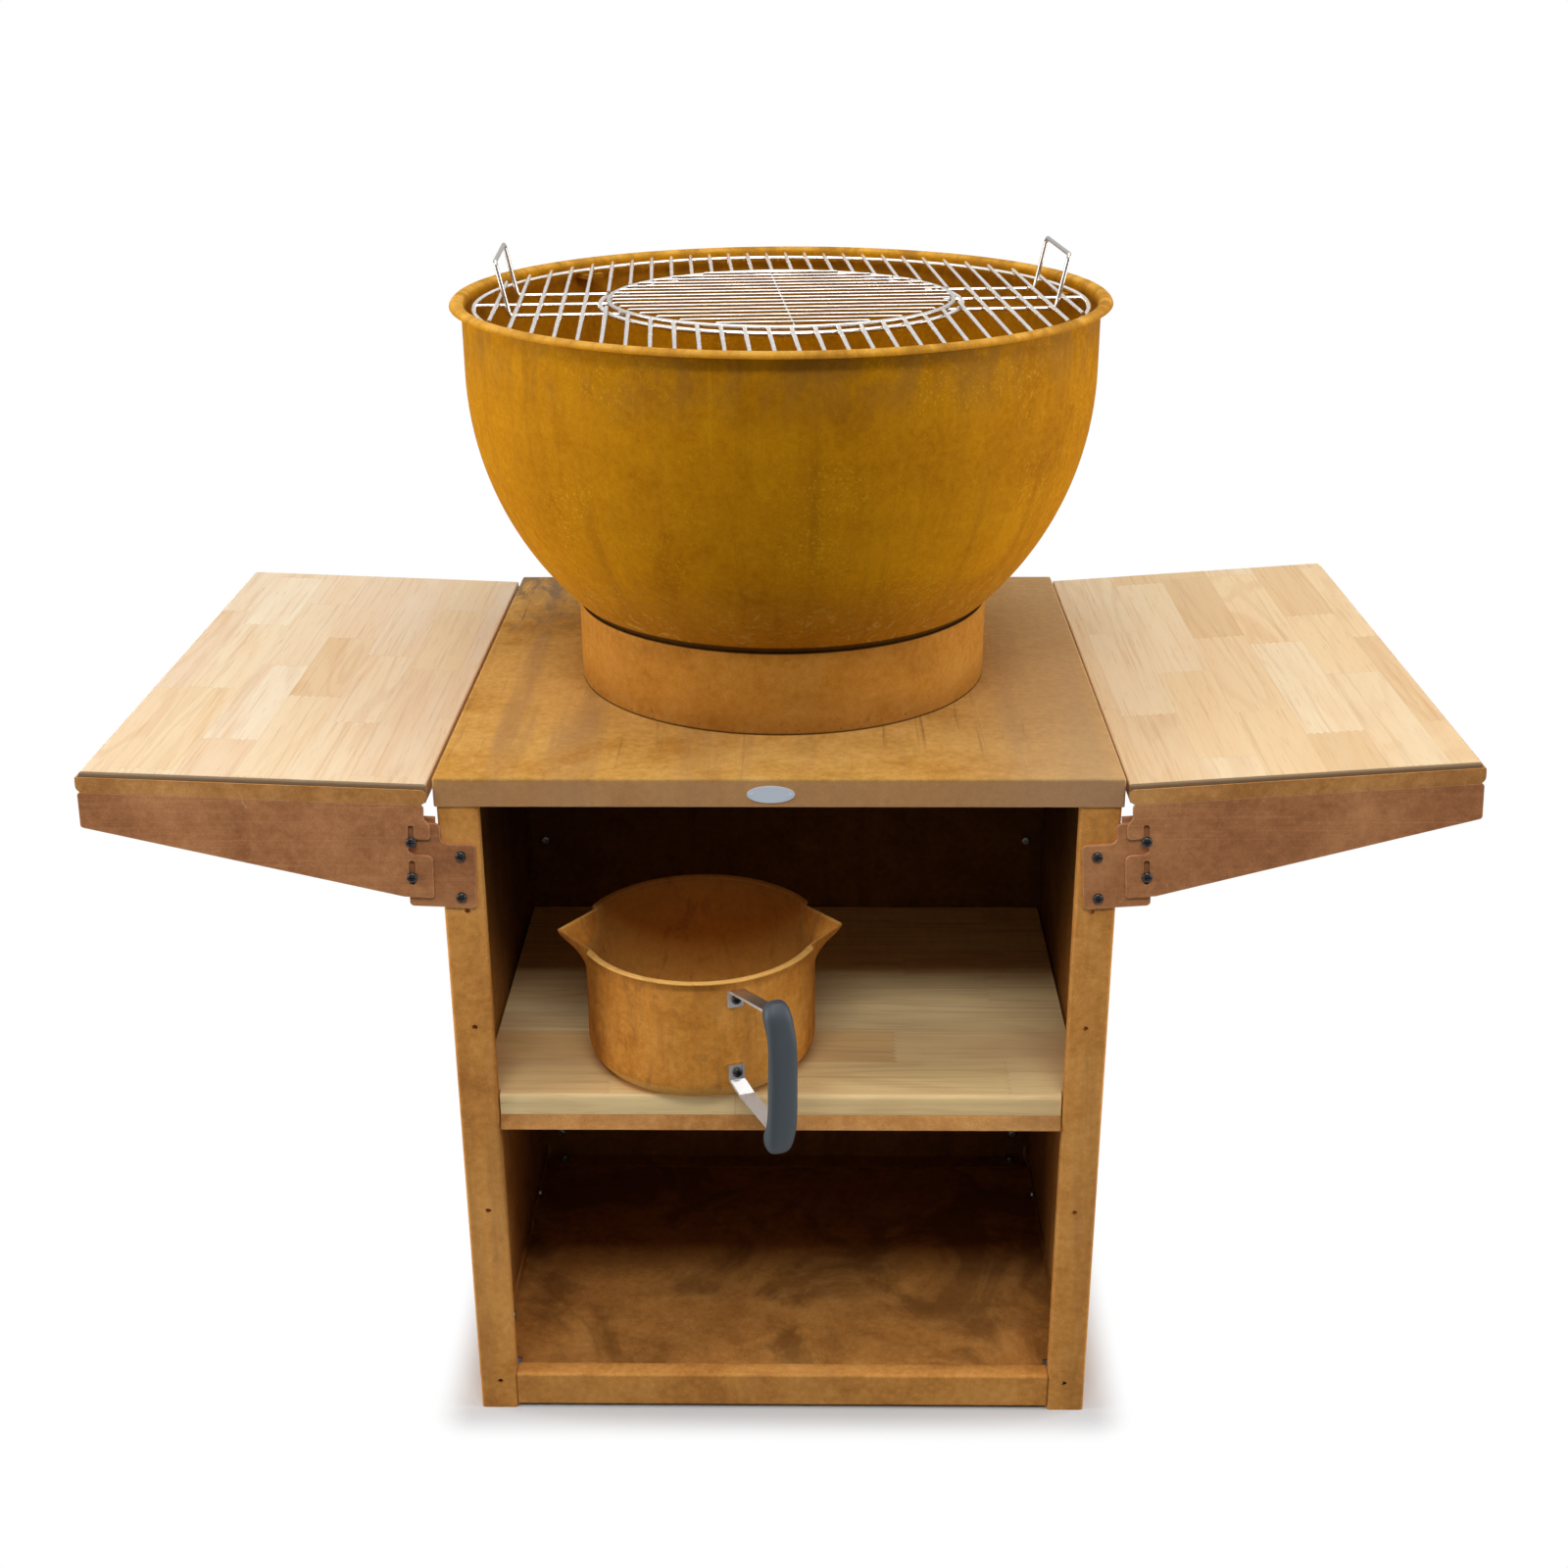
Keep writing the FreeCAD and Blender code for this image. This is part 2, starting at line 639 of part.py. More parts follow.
for sy in (1, -1):
    leg = [
        V(root, sy * HANDLE_Y, GRATE_Z),
        V(HANDLE_FOOT, sy * HANDLE_Y, GRATE_Z),
        V(HANDLE_FOOT + HANDLE_LEAN, sy * HANDLE_Y, GRATE_Z + HANDLE_RISE),
    ]
    handle_points += leg if sy > 0 else leg[::-1]
handle = wire_rod(handle_points, BAR_WIRE, HANDLE_BEND)
grate_piece("grate_right_handle", [handle])
grate_piece("grate_left_handle", [mirrored_x(handle)])

# Centre grate: a ring lying on the seats, bars whose bent ends are welded inside it, one cross bar
CENTRE_BARS = 16
HOOK_DOWN = 3.5
HOOK_BEND = 2.0
centre_z = GRATE_Z + BAR_WIRE + SEAT_GAP + BAR_WIRE
fine_z = centre_z + BAR_WIRE
hook_r = CENTRE_R - BAR_WIRE - FINE_WIRE + WELD
grate_piece("centre_ring", [Part.makeTorus(CENTRE_R, BAR_WIRE, V(0, 0, centre_z))], CENTRE_TURN)
bars = []
for k in range(CENTRE_BARS):
    y = (k - (CENTRE_BARS - 1) / 2) * CENTRE_PITCH
    x = chord(hook_r, y)
    bars.append(wire_rod([
        V(-x, y, fine_z - HOOK_DOWN),
        V(-x, y, fine_z),
        V(x, y, fine_z),
        V(x, y, fine_z - HOOK_DOWN),
    ], FINE_WIRE, HOOK_BEND))
grate_piece("centre_bars", bars, CENTRE_TURN)
cross_end = CENTRE_R - BAR_WIRE + WELD
cross_z = fine_z - FINE_WIRE - FINE_WIRE + WELD
cross_bar = rod(V(0, -cross_end, cross_z), V(0, cross_end, cross_z), FINE_WIRE)
grate_piece("centre_cross_bar", [cross_bar], CENTRE_TURN)

# Bracket plates on the posts, each with a backing plate beside the post
PLATE = 3.0
PLATE_IN = -13.0
PLATE_OUT = 46.0
PLATE_LOW = -30.0
PLATE_STEP = 31.0
PLATE_TOP = 50.0
NECK_U = 17.5
BACKING_LOW = -26.0
BACKING_TOP = 55.0
NUT_GRIP = 2.0
plate_face = POST_OUT + PLATE
plate_points = [
    (PLATE_IN, PLATE_LOW, 4),
    (PLATE_OUT, PLATE_LOW, 4),
    (PLATE_OUT, PLATE_TOP, 5),
    (NECK_U, PLATE_TOP, 5),
    (NECK_U, PLATE_STEP, 6),
    (PLATE_IN, PLATE_STEP, 4),
]
plate = slab(plate_points, in_bracket(-plate_face), ALONG_Y * PLATE)
most_tilt = math.radians(max(TILT.values()))
backing_in = (POST_OUT + FREE - BRACKET_X + BACKING_TOP * math.sin(most_tilt)) / math.cos(most_tilt)
backing_points = [
    (backing_in, BACKING_LOW, 0),
    (PLATE_OUT, BACKING_LOW, 4),
    (PLATE_OUT, BACKING_TOP, 3),
    (backing_in, BACKING_TOP, 0),
]
backing = slab(backing_points, in_bracket(-POST_OUT), ALONG_Y * PLATE)
pin_back = POST_OUT - PLATE
pin_spots = [(PIVOT_U, LOCK_V), (PIVOT_U, PIVOT_V)]
post_spots = [(0, SCREW_V), (0, -SCREW_V)]
for u, v in pin_spots + post_spots:
    plate = plate.cut(hole(5, local(u, v, -plate_face), ALONG_Y))
for u, v in pin_spots:
    backing = backing.cut(hole(5, local(u, v, -POST_OUT), ALONG_Y))
backings = []
bracket_screws = []
bracket_nuts = []
lock_screws = []
pivot_screws = []
pin_nuts = []
ARM = 2.5
ARM_GAP = 0.4
PIN_CORE = 2.0
arm_back = plate_face + ARM_GAP
arm_face = arm_back + ARM
pin_seat = arm_face + ARM_GAP
for side in SIDES:
    for end in ENDS:
        save(side + "_" + end + "_bracket", tilted(from_front(plate, end), side))
        backings.append(tilted(from_front(backing, end), side))
        for u, v in post_spots:
            bolt = screw(5, local(u, v, -plate_face), ALONG_Y, PLATE + SHEET + NUT_H[5] + NUT_GRIP)
            bracket_screws.append(tilted(from_front(bolt, end), side))
            grip = nut(5, local(u, v, -POST_OUT + SHEET), ALONG_Y)
            bracket_nuts.append(tilted(from_front(grip, end), side))
        pin_long = pin_seat - pin_back + NUT_H[5] + NUT_GRIP
        lock = screw(5, local(PIVOT_U, LOCK_V, -pin_seat), ALONG_Y, pin_long)
        lock_screws.append(tilted(from_front(lock, end), side))
        shoulder = pin_seat - plate_face
        pivot = screw(5, local(PIVOT_U, PIVOT_V, -pin_seat), ALONG_Y, shoulder, PIN_CORE)
        thread_from = local(PIVOT_U, PIVOT_V, -plate_face)
        pivot = joined([pivot, Part.makeCylinder(5 / 2, pin_long - shoulder, thread_from, ALONG_Y)])
        pivot_screws.append(tilted(from_front(pivot, end), side))
        for u, v in pin_spots:
            grip = nut(5, local(u, v, -pin_back), ALONG_Y)
            pin_nuts.append(tilted(from_front(grip, end), side))
save("bracket_backings", Part.makeCompound(backings))
save("bracket_screws", Part.makeCompound(bracket_screws))
save("bracket_nuts", Part.makeCompound(bracket_nuts))
save("lock_screws", Part.makeCompound(lock_screws))
save("pivot_screws", Part.makeCompound(pivot_screws))
save("pin_nuts", Part.makeCompound(pin_nuts))

# Pivot bushes that run in the lower slots of the arms
SLOT = 5.6
BUSH_GAP = 0.1
bush_long = ARM + 2 * ARM_GAP - 2 * BUSH_GAP
bush_at = local(PIVOT_U, PIVOT_V, -plate_face - BUSH_GAP)
bush = Part.makeCylinder(SLOT / 2 - PIN_GAP, bush_long, bush_at, ALONG_Y * -1)
bush = bush.cut(drill(PIN_CORE + PIN_GAP, bush_at, ALONG_Y))

# Table arms: a slotted tongue at the post, a straight tapering beam with a bent top flange
ARM_TOP = 68.5
ARM_OUT = 331.0
ARM_END = 33.0
LOWER_SLOT = (-5.5, 12.5)
UPPER_SLOT_TOP = 46.5
TONGUE_U = 24.0
TONGUE_LOW = -20.0
HEEL_U = 50.0
SHOULDER_U = 31.0
SHOULDER_V = 55.0
FINGER_U = 26.0
FINGER_V = 49.0
NOTCH_LOW = 20.5
NOTCH_TOP = 36.2
ARM_FLANGE = 22.0
FLANGE_FROM = 56.0
FLANGE_T = 2.0
FLANGE_TO = 326.0
ARM_SPOTS = (100.0, 290.0)
ARM_SCREW_IN = 12.0
half_slot = SLOT / 2
notch_out = PIVOT_U + half_slot
arm_points = [
    (TONGUE_U, TONGUE_LOW, 2.5),
    (HEEL_U, TONGUE_LOW, 12),
    (ARM_OUT, ARM_TOP - ARM_END, 3),
    (ARM_OUT, ARM_TOP, 3),
    (SHOULDER_U, ARM_TOP, 4),
    (SHOULDER_U, SHOULDER_V, 6),
    (FINGER_U, FINGER_V, 6),
    (FINGER_U, NOTCH_TOP, 3),
    (notch_out, NOTCH_TOP, 0),
    (notch_out, NOTCH_LOW, 5),
    (TONGUE_U, NOTCH_LOW, 6),
]
arm = slab(arm_points, in_bracket(-arm_face), ALONG_Y * ARM)


def slot(low, high):
    ends = [drill(half_slot, local(PIVOT_U, v, -arm_face), ALONG_Y) for v in (low, high)]
    corner = local(PIVOT_U - half_slot, low, -arm_face - DRILL_REACH)
    middle = Part.makeBox(SLOT, 2 * DRILL_REACH, high - low, corner)
    return joined([middle] + ends)


arm = arm.cut(slot(*LOWER_SLOT))
arm = arm.cut(slot(NOTCH_TOP - SLOT, UPPER_SLOT_TOP))
flange_at = local(FLANGE_FROM, ARM_TOP - FLANGE_T, -arm_face + ARM / 2)
flange = Part.makeBox(FLANGE_TO - FLANGE_FROM, ARM_FLANGE - ARM / 2, FLANGE_T, flange_at)
arm = joined([arm, flange])
arm_screw_y = arm_face - ARM_SCREW_IN
for u in ARM_SPOTS:
    arm = arm.cut(hole(4, local(u, ARM_TOP, -arm_screw_y), UP))

# Table trays: floor, raised skirts front and rear, outer skirt
TRAY_T = 1.5
TRAY_SKIRT = 14.0
TRAY_IN = 27.5
TRAY_OUT = 332.0
TRAY_BEND = 4.5
DECK_IN = 35.5
DECK_CLEAR = 0.5
BOARD_IN = 29.0
BOARD_T = 16.5
tray_top = ARM_TOP + TRAY_T
tray_y = arm_face
skirt_points = [
    (TRAY_IN, ARM_TOP, 8),
    (TRAY_OUT, ARM_TOP, 6),
    (TRAY_OUT, ARM_TOP + TRAY_SKIRT, 3),
    (TRAY_IN, ARM_TOP + TRAY_SKIRT, 6),
]
skirt = slab(skirt_points, in_bracket(-tray_y), ALONG_Y * TRAY_T)
deck_path = [
    (DECK_IN, ARM_TOP),
    (TRAY_OUT, ARM_TOP),
    (TRAY_OUT, ARM_TOP + TRAY_SKIRT - DECK_CLEAR),
]
deck_y = tray_y - DECK_CLEAR
deck = slab(folded(deck_path, TRAY_T, TRAY_BEND), in_bracket(-deck_y), ALONG_Y * (2 * deck_y))
table_tray = joined([deck, skirt, mirrored_y(skirt)])
for u in ARM_SPOTS:
    for sy in (-1, 1):
        table_tray = table_tray.cut(hole(4, local(u, ARM_TOP, sy * arm_screw_y), UP))

# Table boards, fixed from below through the arm flanges and the tray
TABLE_ROUND = 2.0
WOOD_SCREW = 2.0
WOOD_SCREW_UP = 12.0
board_y = TABLE_D / 2
board_low = tray_top
table_board = Part.makeBox(TABLE_W, TABLE_D, BOARD_T, local(BOARD_IN, board_low, -board_y))
board_top = BRACKET_Z + board_low + BOARD_T
top_edges = [edge for edge in table_board.Edges if edge.CenterOfMass.z > board_top - 0.1]
table_board = table_board.makeFillet(TABLE_ROUND, top_edges)
outer_edge = [
    edge for edge in table_board.Edges
    if abs(edge.CenterOfMass.z - BRACKET_Z - board_low) < 0.1
    and edge.CenterOfMass.x > BRACKET_X + BOARD_IN + TABLE_W - 0.1
]
table_board = table_board.makeFillet(TRAY_BEND + DECK_CLEAR, outer_edge)
board_screws = []
for u in ARM_SPOTS:
    for sy in (-1, 1):
        seat = local(u, ARM_TOP - FLANGE_T, sy * arm_screw_y)
        reach = FLANGE_T + TRAY_T + WOOD_SCREW_UP
        pilot = Part.makeCylinder(WOOD_SCREW + PIN_GAP, reach + 1, seat)
        table_board = table_board.cut(pilot)
        board_screws.append(screw(5, seat, UP, reach, WOOD_SCREW))
for side in SIDES:
    save(side + "_table_board", tilted(table_board, side))
    save(side + "_table_tray", tilted(table_tray, side))
    save(side + "_front_arm", tilted(arm, side))
    save(side + "_rear_arm", tilted(mirrored_y(arm), side))
    save(side + "_board_screws", Part.makeCompound([tilted(item, side) for item in board_screws]))
    bushes = [tilted(item, side) for item in (bush, mirrored_y(bush))]
    save(side + "_pivot_bushes", Part.makeCompound(bushes))

# Bolts and nuts of the cabinet
bolts = []
nuts = []


def bolted(seat, direction, grip_length):
    bolt = screw(6, seat, direction, grip_length + NUT_H[6] + NUT_GRIP)
    holder = nut(6, seat + direction * grip_length, direction)
    bolts.extend([bolt, mirrored_x(bolt)])
    nuts.extend([holder, mirrored_x(holder)])


for z in PANEL_BOLT_Z:
    bolted(V(PANEL_BOLT_X, -post_side + SHEET, z), ALONG_Y * -1, 2 * SHEET)
    bolted(V(PANEL_BOLT_X, post_side - SHEET, z), ALONG_Y, 2 * SHEET)
for z in BACK_BOLT_Z:
    bolted(V(BACK_BOLT_X, BACK, z), ALONG_Y, 2 * SHEET)
for z in ANGLE_BOLT_Z:
    bolted(V(SIDE_IN - SHEET, angle_bolt_y, z), ALONG_X, 2 * SHEET)
for y in SHELF_BOLT_Y:
    bolted(V(SIDE_IN - SHELF_SHEET, y, shelf_bolt_z), ALONG_X, SHEET + SHELF_SHEET)
for y in TRAY_BOLT_Y:
    bolted(V(SIDE_IN - SHEET, y, tray_bolt_z), ALONG_X, 2 * SHEET)
bolted(V(FLOOR_BOLT_X, floor_bolt_y, FLOOR - SHEET), UP, 2 * SHEET)
save("cabinet_bolts", Part.makeCompound(bolts))
save("cabinet_nuts", Part.makeCompound(nuts))

# Pot: shell with a flared rim and two pouring spouts
POT_T = 2.0
POT_FOOT = 24.0
POT_FLARE = 7.0
SPOUT_HALF = 45.0
SPOUT_REACH = 134.0
SPOUT_DEEP = 30.0
SPOUT_LAP = 3.0
SPOUT_TIP = 1.6
LIP_OPEN = 0.5
pot_body = Part.makeCylinder(POT_R, POT_H)
pot_hollow = Part.makeCylinder(POT_R - POT_T, POT_H, V(0, 0, POT_T))
rounded_pot = []
for shape, radius in ((pot_body, POT_FOOT), (pot_hollow, POT_FOOT - POT_T)):
    low = [edge for edge in shape.Edges if edge.Closed and edge.CenterOfMass.z < POT_T + 1]
    rounded_pot.append(shape.makeFillet(radius, low))
flare = Part.makeCylinder(POT_R + POT_FLARE, POT_T, V(0, 0, POT_H - POT_T))


def spout(inset, top):
    azimuth = math.asin(SPOUT_HALF / POT_R)
    near = POT_R - SPOUT_LAP
    a = V(near * math.cos(azimuth), SPOUT_HALF - inset, top)
    b = V(near * math.cos(azimuth), -SPOUT_HALF + inset, top)
    tip = V(SPOUT_REACH - inset * SPOUT_TIP, 0, top)
    low = V(near, 0, POT_H - SPOUT_DEEP + inset)
    faces = [Part.Face(Part.makePolygon([p, q, r, p])) for p, q, r in (
        (a, b, tip), (a, low, b), (b, low, tip), (tip, low, a),
    )]
    return Part.Solid(Part.Shell(faces))


outer_spout = turned(spout(0, POT_H), ORIGIN, UP, SPOUT_TURN)
inner_spout = turned(spout(POT_T, POT_H + LIP_OPEN), ORIGIN, UP, SPOUT_TURN)
pot = rounded_pot[0].fuse([flare, outer_spout, turned(outer_spout, ORIGIN, UP, 180)])
pot = drilled(pot, [rounded_pot[1], inner_spout, turned(inner_spout, ORIGIN, UP, 180)])

# Handle of the pot: two straps screwed to the shell, slanting sideways to the grip moulded over their ends
STRAP = 2.5
STRAP_BEND = 2.0
STRAP_WIDE = 14.0
STRAP_OFF = 0.4
STRAP_SLANT = 0.37
KNEE = (-123.5, 15.7)
UPPER_TAB = 109.4
LOWER_TAB = 33.7
TAB_END = 8.0
UPPER_FOLD = 10.0
LOWER_FOLD = 8.5
POT_SCREW = 2.0
POT_SCREW_LONG = 9.0
UPPER_END = (-160.0, 121.0)
LOWER_END = (-167.5, -2.0)
GRIP_SQUARE = 2.8      # roundness of the grip's sections, 2 is an ellipse
GRIP_POINTS = 20
grip_sections = [      # height, inner and outer face, left and right side
    (-24.0, -159.0, -166.0, 17.0, 26.0),
    (-22.0, -156.5, -169.5, 12.5, 30.5),
    (-16.0, -155.0, -173.0, 9.0, 33.5),
    (-5.0, -156.0, -176.0, 7.5, 35.5),
    (8.0, -163.0, -177.5, 8.5, 36.0),
    (30.0, -165.0, -178.0, 9.5, 36.5),
    (70.0, -165.0, -178.0, 10.0, 36.5),
    (98.0, -164.5, -176.5, 9.5, 35.5),
    (110.0, -156.0, -175.0, 8.5, 34.5),
    (119.0, -152.5, -173.0, 8.5, 33.0),
    (125.0, -153.5, -169.5, 11.0, 30.5),
    (129.0, -158.0, -165.0, 16.0, 26.0),
]
strap_in = POT_R + STRAP_OFF


def slanting(p):
    return V(STRAP_SLANT * (-p.x - strap_in - STRAP) - STRAP_WIDE / 2, p.x, p.y)


def strap(path):
    return slab(folded(path, STRAP, STRAP_BEND), slanting, ALONG_X * STRAP_WIDE)


upper_strap = strap([
    (-strap_in, UPPER_TAB - TAB_END),
    (-strap_in, UPPER_TAB + UPPER_FOLD),
    UPPER_END,
])
lower_strap = strap([
    LOWER_END,
    KNEE,
    (-strap_in, LOWER_TAB - LOWER_FOLD),
    (-strap_in, LOWER_TAB + TAB_END),
])


def power(value, exponent):
    return math.copysign(abs(value) ** exponent, value)


def grip_ring(z, inner, outer, left, right):
    points = []
    for i in range(GRIP_POINTS):
        angle = 2 * math.pi * i / GRIP_POINTS
        across = power(math.cos(angle), 2 / GRIP_SQUARE)
        deep = power(math.sin(angle), 2 / GRIP_SQUARE)
        x = (left + right) / 2 + (right - left) / 2 * across
        y = (inner + outer) / 2 + (inner - outer) / 2 * deep
        points.append(V(x, y, z))
    curve = Part.BSplineCurve()
    curve.interpolate(Points=points, PeriodicFlag=True)
    return Part.Wire(curve.toShape())


pot_grip = Part.makeLoft([grip_ring(*section) for section in grip_sections], True, False)
pot_screws = []
straps = []
for strap_shape, z in ((upper_strap, UPPER_TAB), (lower_strap, LOWER_TAB)):
    seat = V(0, -strap_in - STRAP, z)
    spot = hole(2 * POT_SCREW, V(0, -POT_R, z), ALONG_Y)
    straps.append(strap_shape.cut(spot))
    pot_hole = turned(spot, ORIGIN, UP, HANDLE_TURN)
    pot = pot.cut(pot_hole)
    pot_screws.append(screw(5, seat, ALONG_Y, POT_SCREW_LONG, POT_SCREW))
pot_grip = pot_grip.cut(Part.makeCompound(straps))


def pot_piece(name, shape, angle):
    save(name, moved(turned(shape, ORIGIN, UP, angle), POT_AT))


pot_piece("pot_shell", pot, 0)
pot_piece("pot_straps", Part.makeCompound(straps), HANDLE_TURN)
pot_piece("pot_grip", pot_grip, HANDLE_TURN)
pot_piece("pot_screws", Part.makeCompound(pot_screws), HANDLE_TURN)
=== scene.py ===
import bpy
import math
from mathutils import Matrix, Vector


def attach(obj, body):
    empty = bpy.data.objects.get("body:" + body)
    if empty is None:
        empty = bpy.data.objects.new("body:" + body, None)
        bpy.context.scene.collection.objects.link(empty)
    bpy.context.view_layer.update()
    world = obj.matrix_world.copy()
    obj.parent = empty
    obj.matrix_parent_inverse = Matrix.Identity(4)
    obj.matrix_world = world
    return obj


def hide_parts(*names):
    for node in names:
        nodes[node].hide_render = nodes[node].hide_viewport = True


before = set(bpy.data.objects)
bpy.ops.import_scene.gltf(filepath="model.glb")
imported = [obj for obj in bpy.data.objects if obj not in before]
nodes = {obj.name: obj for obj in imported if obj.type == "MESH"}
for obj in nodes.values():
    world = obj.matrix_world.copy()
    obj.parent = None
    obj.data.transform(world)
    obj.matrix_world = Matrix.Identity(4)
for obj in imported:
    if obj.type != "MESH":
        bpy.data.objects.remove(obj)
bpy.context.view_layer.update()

# Cabinet carcass: posts, side panels, back panel with its corner angles, and floor tray.
# Weathering steel sheet, folded and bolted, with an orange-brown rust patina that is browner along
# its folds and rubbed edges. Inside it carries painted shade, darker towards the back and under the
# top plate; the floor tray has painted shade towards the back and cloudy smudges behind the rail.
INNER_HALF = 0.2818
BACK_SHEET = 0.106
RAIL_REAR = -0.28
SHADE_Y = (-0.25, -0.02)
UPPER_BAY_Y = (-0.285, -0.2)
UPPER_BAY_Z = (0.36, 0.58)
FLOOR_SHADE_Y = (-0.22, 0.04)
RUBBED_EDGE = 0.0022


def srgb(red, green, blue):
    def linear(value):
        value = value / 255
        return value / 12.92 if value <= 0.04045 else ((value + 0.055) / 1.055) ** 2.4
    return (linear(red), linear(green), linear(blue), 1.0)


def node(tree, kind, sockets=None, **settings):
    made = tree.nodes.new(kind)
    for key, value in settings.items():
        setattr(made, key, value)
    for key, value in (sockets or {}).items():
        if isinstance(value, bpy.types.NodeSocket):
            tree.links.new(value, made.inputs[key])
        else:
            made.inputs[key].default_value = value
    return made


def new_material(name):
    made = bpy.data.materials.new(name)
    made.use_nodes = True
    return made, made.node_tree, made.node_tree.nodes["Principled BSDF"]


def object_space(tree):
    return node(tree, "ShaderNodeTexCoord").outputs["Object"]


def noise(tree, vector, scale, detail, roughness, distortion=0.0):
    return node(tree, "ShaderNodeTexNoise", {
        "Vector": vector, "Scale": scale, "Detail": detail,
        "Roughness": roughness, "Distortion": distortion,
    }).outputs["Fac"]


def between(tree, value, low, high, to_low=0.0, to_high=1.0):
    return node(tree, "ShaderNodeMapRange", {
        "Value": value, "From Min": low, "From Max": high, "To Min": to_low, "To Max": to_high,
    }, interpolation_type="SMOOTHSTEP").outputs["Result"]


def blend(tree, factor, first, second, mode="MIX"):
    made = node(
        tree, "ShaderNodeMix", {0: factor, 6: first, 7: second}, data_type="RGBA", blend_type=mode,
    )
    return made.outputs[2]


def calc(tree, operation, first, second=0.0):
    return node(tree, "ShaderNodeMath", {0: first, 1: second}, operation=operation).outputs[0]


def times(tree, *values):
    product = values[0]
    for value in values[1:]:
        product = calc(tree, "MULTIPLY", product, value)
    return product


def stretched(tree, here, scale, rotation=(0, 0, 0)):
    return node(tree, "ShaderNodeMapping", {
        "Vector": here, "Scale": scale, "Rotation": rotation,
    }).outputs["Vector"]


def along(tree, here, axis):
    return node(tree, "ShaderNodeSeparateXYZ", {0: here}).outputs[axis]


def bumped(tree, shader, height, strength, distance):
    made = node(tree, "ShaderNodeBump", {"Height": height, "Strength": strength, "Distance": distance})
    tree.links.new(made.outputs["Normal"], shader.inputs["Normal"])


def edge_mask(tree, radius, low, high):
    rounded = node(tree, "ShaderNodeBevel", {"Radius": radius}, samples=6).outputs["Normal"]
    flat = node(tree, "ShaderNodeNewGeometry").outputs["Normal"]
    match = node(tree, "ShaderNodeVectorMath", {0: rounded, 1: flat}, operation="DOT_PRODUCT")
    return between(tree, match.outputs["Value"], high, low)


def ramped(tree, value, *stops):
    ramp = node(tree, "ShaderNodeValToRGB", {"Fac": value})
    ramp.color_ramp.elements[0].position, ramp.color_ramp.elements[0].color = stops[0]
    ramp.color_ramp.elements[1].position, ramp.color_ramp.elements[1].color = stops[-1]
    for position, color in stops[1:-1]:
        ramp.color_ramp.elements.new(position).color = color
    return ramp.outputs["Color"]


def rust(
    name, dark, mid, light, clouds, run, streak_tone, streak_amount, edge_tone, edge_amount, layers=(),
):
    made, tree, shader = new_material(name)
    here = object_space(tree)
    broad = noise(tree, here, clouds, 6, 0.6, 0.5)
    patch = noise(tree, here, clouds * 6, 6, 0.65, 0.5)
    fine = noise(tree, here, 150, 5, 0.68)
    grain = noise(tree, here, 950, 3, 0.6)
    tone = calc(tree, "ADD", times(tree, broad, 0.55), times(tree, patch, 0.25))
    tone = calc(tree, "ADD", tone, times(tree, fine, 0.2))
    color = ramped(tree, tone, (0.4, dark), (0.5, mid), (0.6, light))
    lines = between(tree, noise(tree, run(tree, here), 1.0, 5, 0.62, 0.25), 0.47, 0.7)
    gathered = between(tree, broad, 0.35, 0.6, 0.5, 1.0)
    color = blend(tree, times(tree, lines, gathered, streak_amount), color, streak_tone)
    for layer in layers:
        color = layer(tree, here, color)
    speckle = calc(tree, "ADD", times(tree, grain, 0.75), times(tree, fine, 0.25))
    speckle = between(tree, speckle, 0.3, 0.7, 0.87, 1.12)
    grey = node(tree, "ShaderNodeCombineColor", {0: speckle, 1: speckle, 2: speckle}).outputs[0]
    color = blend(tree, 1.0, color, grey, "MULTIPLY")
    edges = edge_mask(tree, RUBBED_EDGE, 0.62, 0.97)
    rubbed = times(tree, edges, between(tree, patch, 0.3, 0.6, 0.3, 1.0), edge_amount)
    color = blend(tree, rubbed, color, edge_tone)
    tree.links.new(color, shader.inputs["Base Color"])
    tree.links.new(between(tree, fine, 0.3, 0.7, 0.9, 0.72), shader.inputs["Roughness"])
    shader.inputs["Specular IOR Level"].default_value = 0.06
    bumped(tree, shader, calc(tree, "ADD", times(tree, grain, 0.6), fine), 0.22, 0.0006)
    return made


def straight(scale):
    return lambda tree, here: stretched(tree, here, scale)


def paint(material, *names):
    for name in names:
        nodes[name].data.materials.clear()
        nodes[name].data.materials.append(material)


# Painted shade inside the cabinet: darker towards the back, and darker still high up behind the front,
# under the top plate.
def painted_inside_shade(tree, here, color):
    depth = along(tree, here, 1)
    inside = calc(tree, "LESS_THAN", calc(tree, "ABSOLUTE", along(tree, here, 0)), INNER_HALF)
    inside = times(tree, inside, calc(tree, "LESS_THAN", depth, BACK_SHEET))
    deep = times(tree, between(tree, depth, *SHADE_Y), inside, 0.7)
    color = blend(tree, deep, color, srgb(50, 33, 15))
    high = between(tree, along(tree, here, 2), *UPPER_BAY_Z)
    upper = times(tree, between(tree, depth, *UPPER_BAY_Y), high, inside, 0.8)
    return blend(tree, upper, color, srgb(34, 20, 7))


def clouded(tree, here, color):
    smudge = between(tree, noise(tree, here, 8, 6, 0.6, 0.8), 0.44, 0.62, 0.1, 0.7)
    inside = between(tree, along(tree, here, 1), RAIL_REAR - 0.01, RAIL_REAR + 0.01)
    return blend(tree, times(tree, inside, smudge), color, srgb(118, 74, 34))


def shaded_floor(tree, here, color):
    deep = between(tree, along(tree, here, 1), *FLOOR_SHADE_Y)
    behind_rail = calc(tree, "GREATER_THAN", along(tree, here, 1), RAIL_REAR)
    return blend(tree, times(tree, deep, behind_rail, 0.6), color, srgb(82, 54, 26))


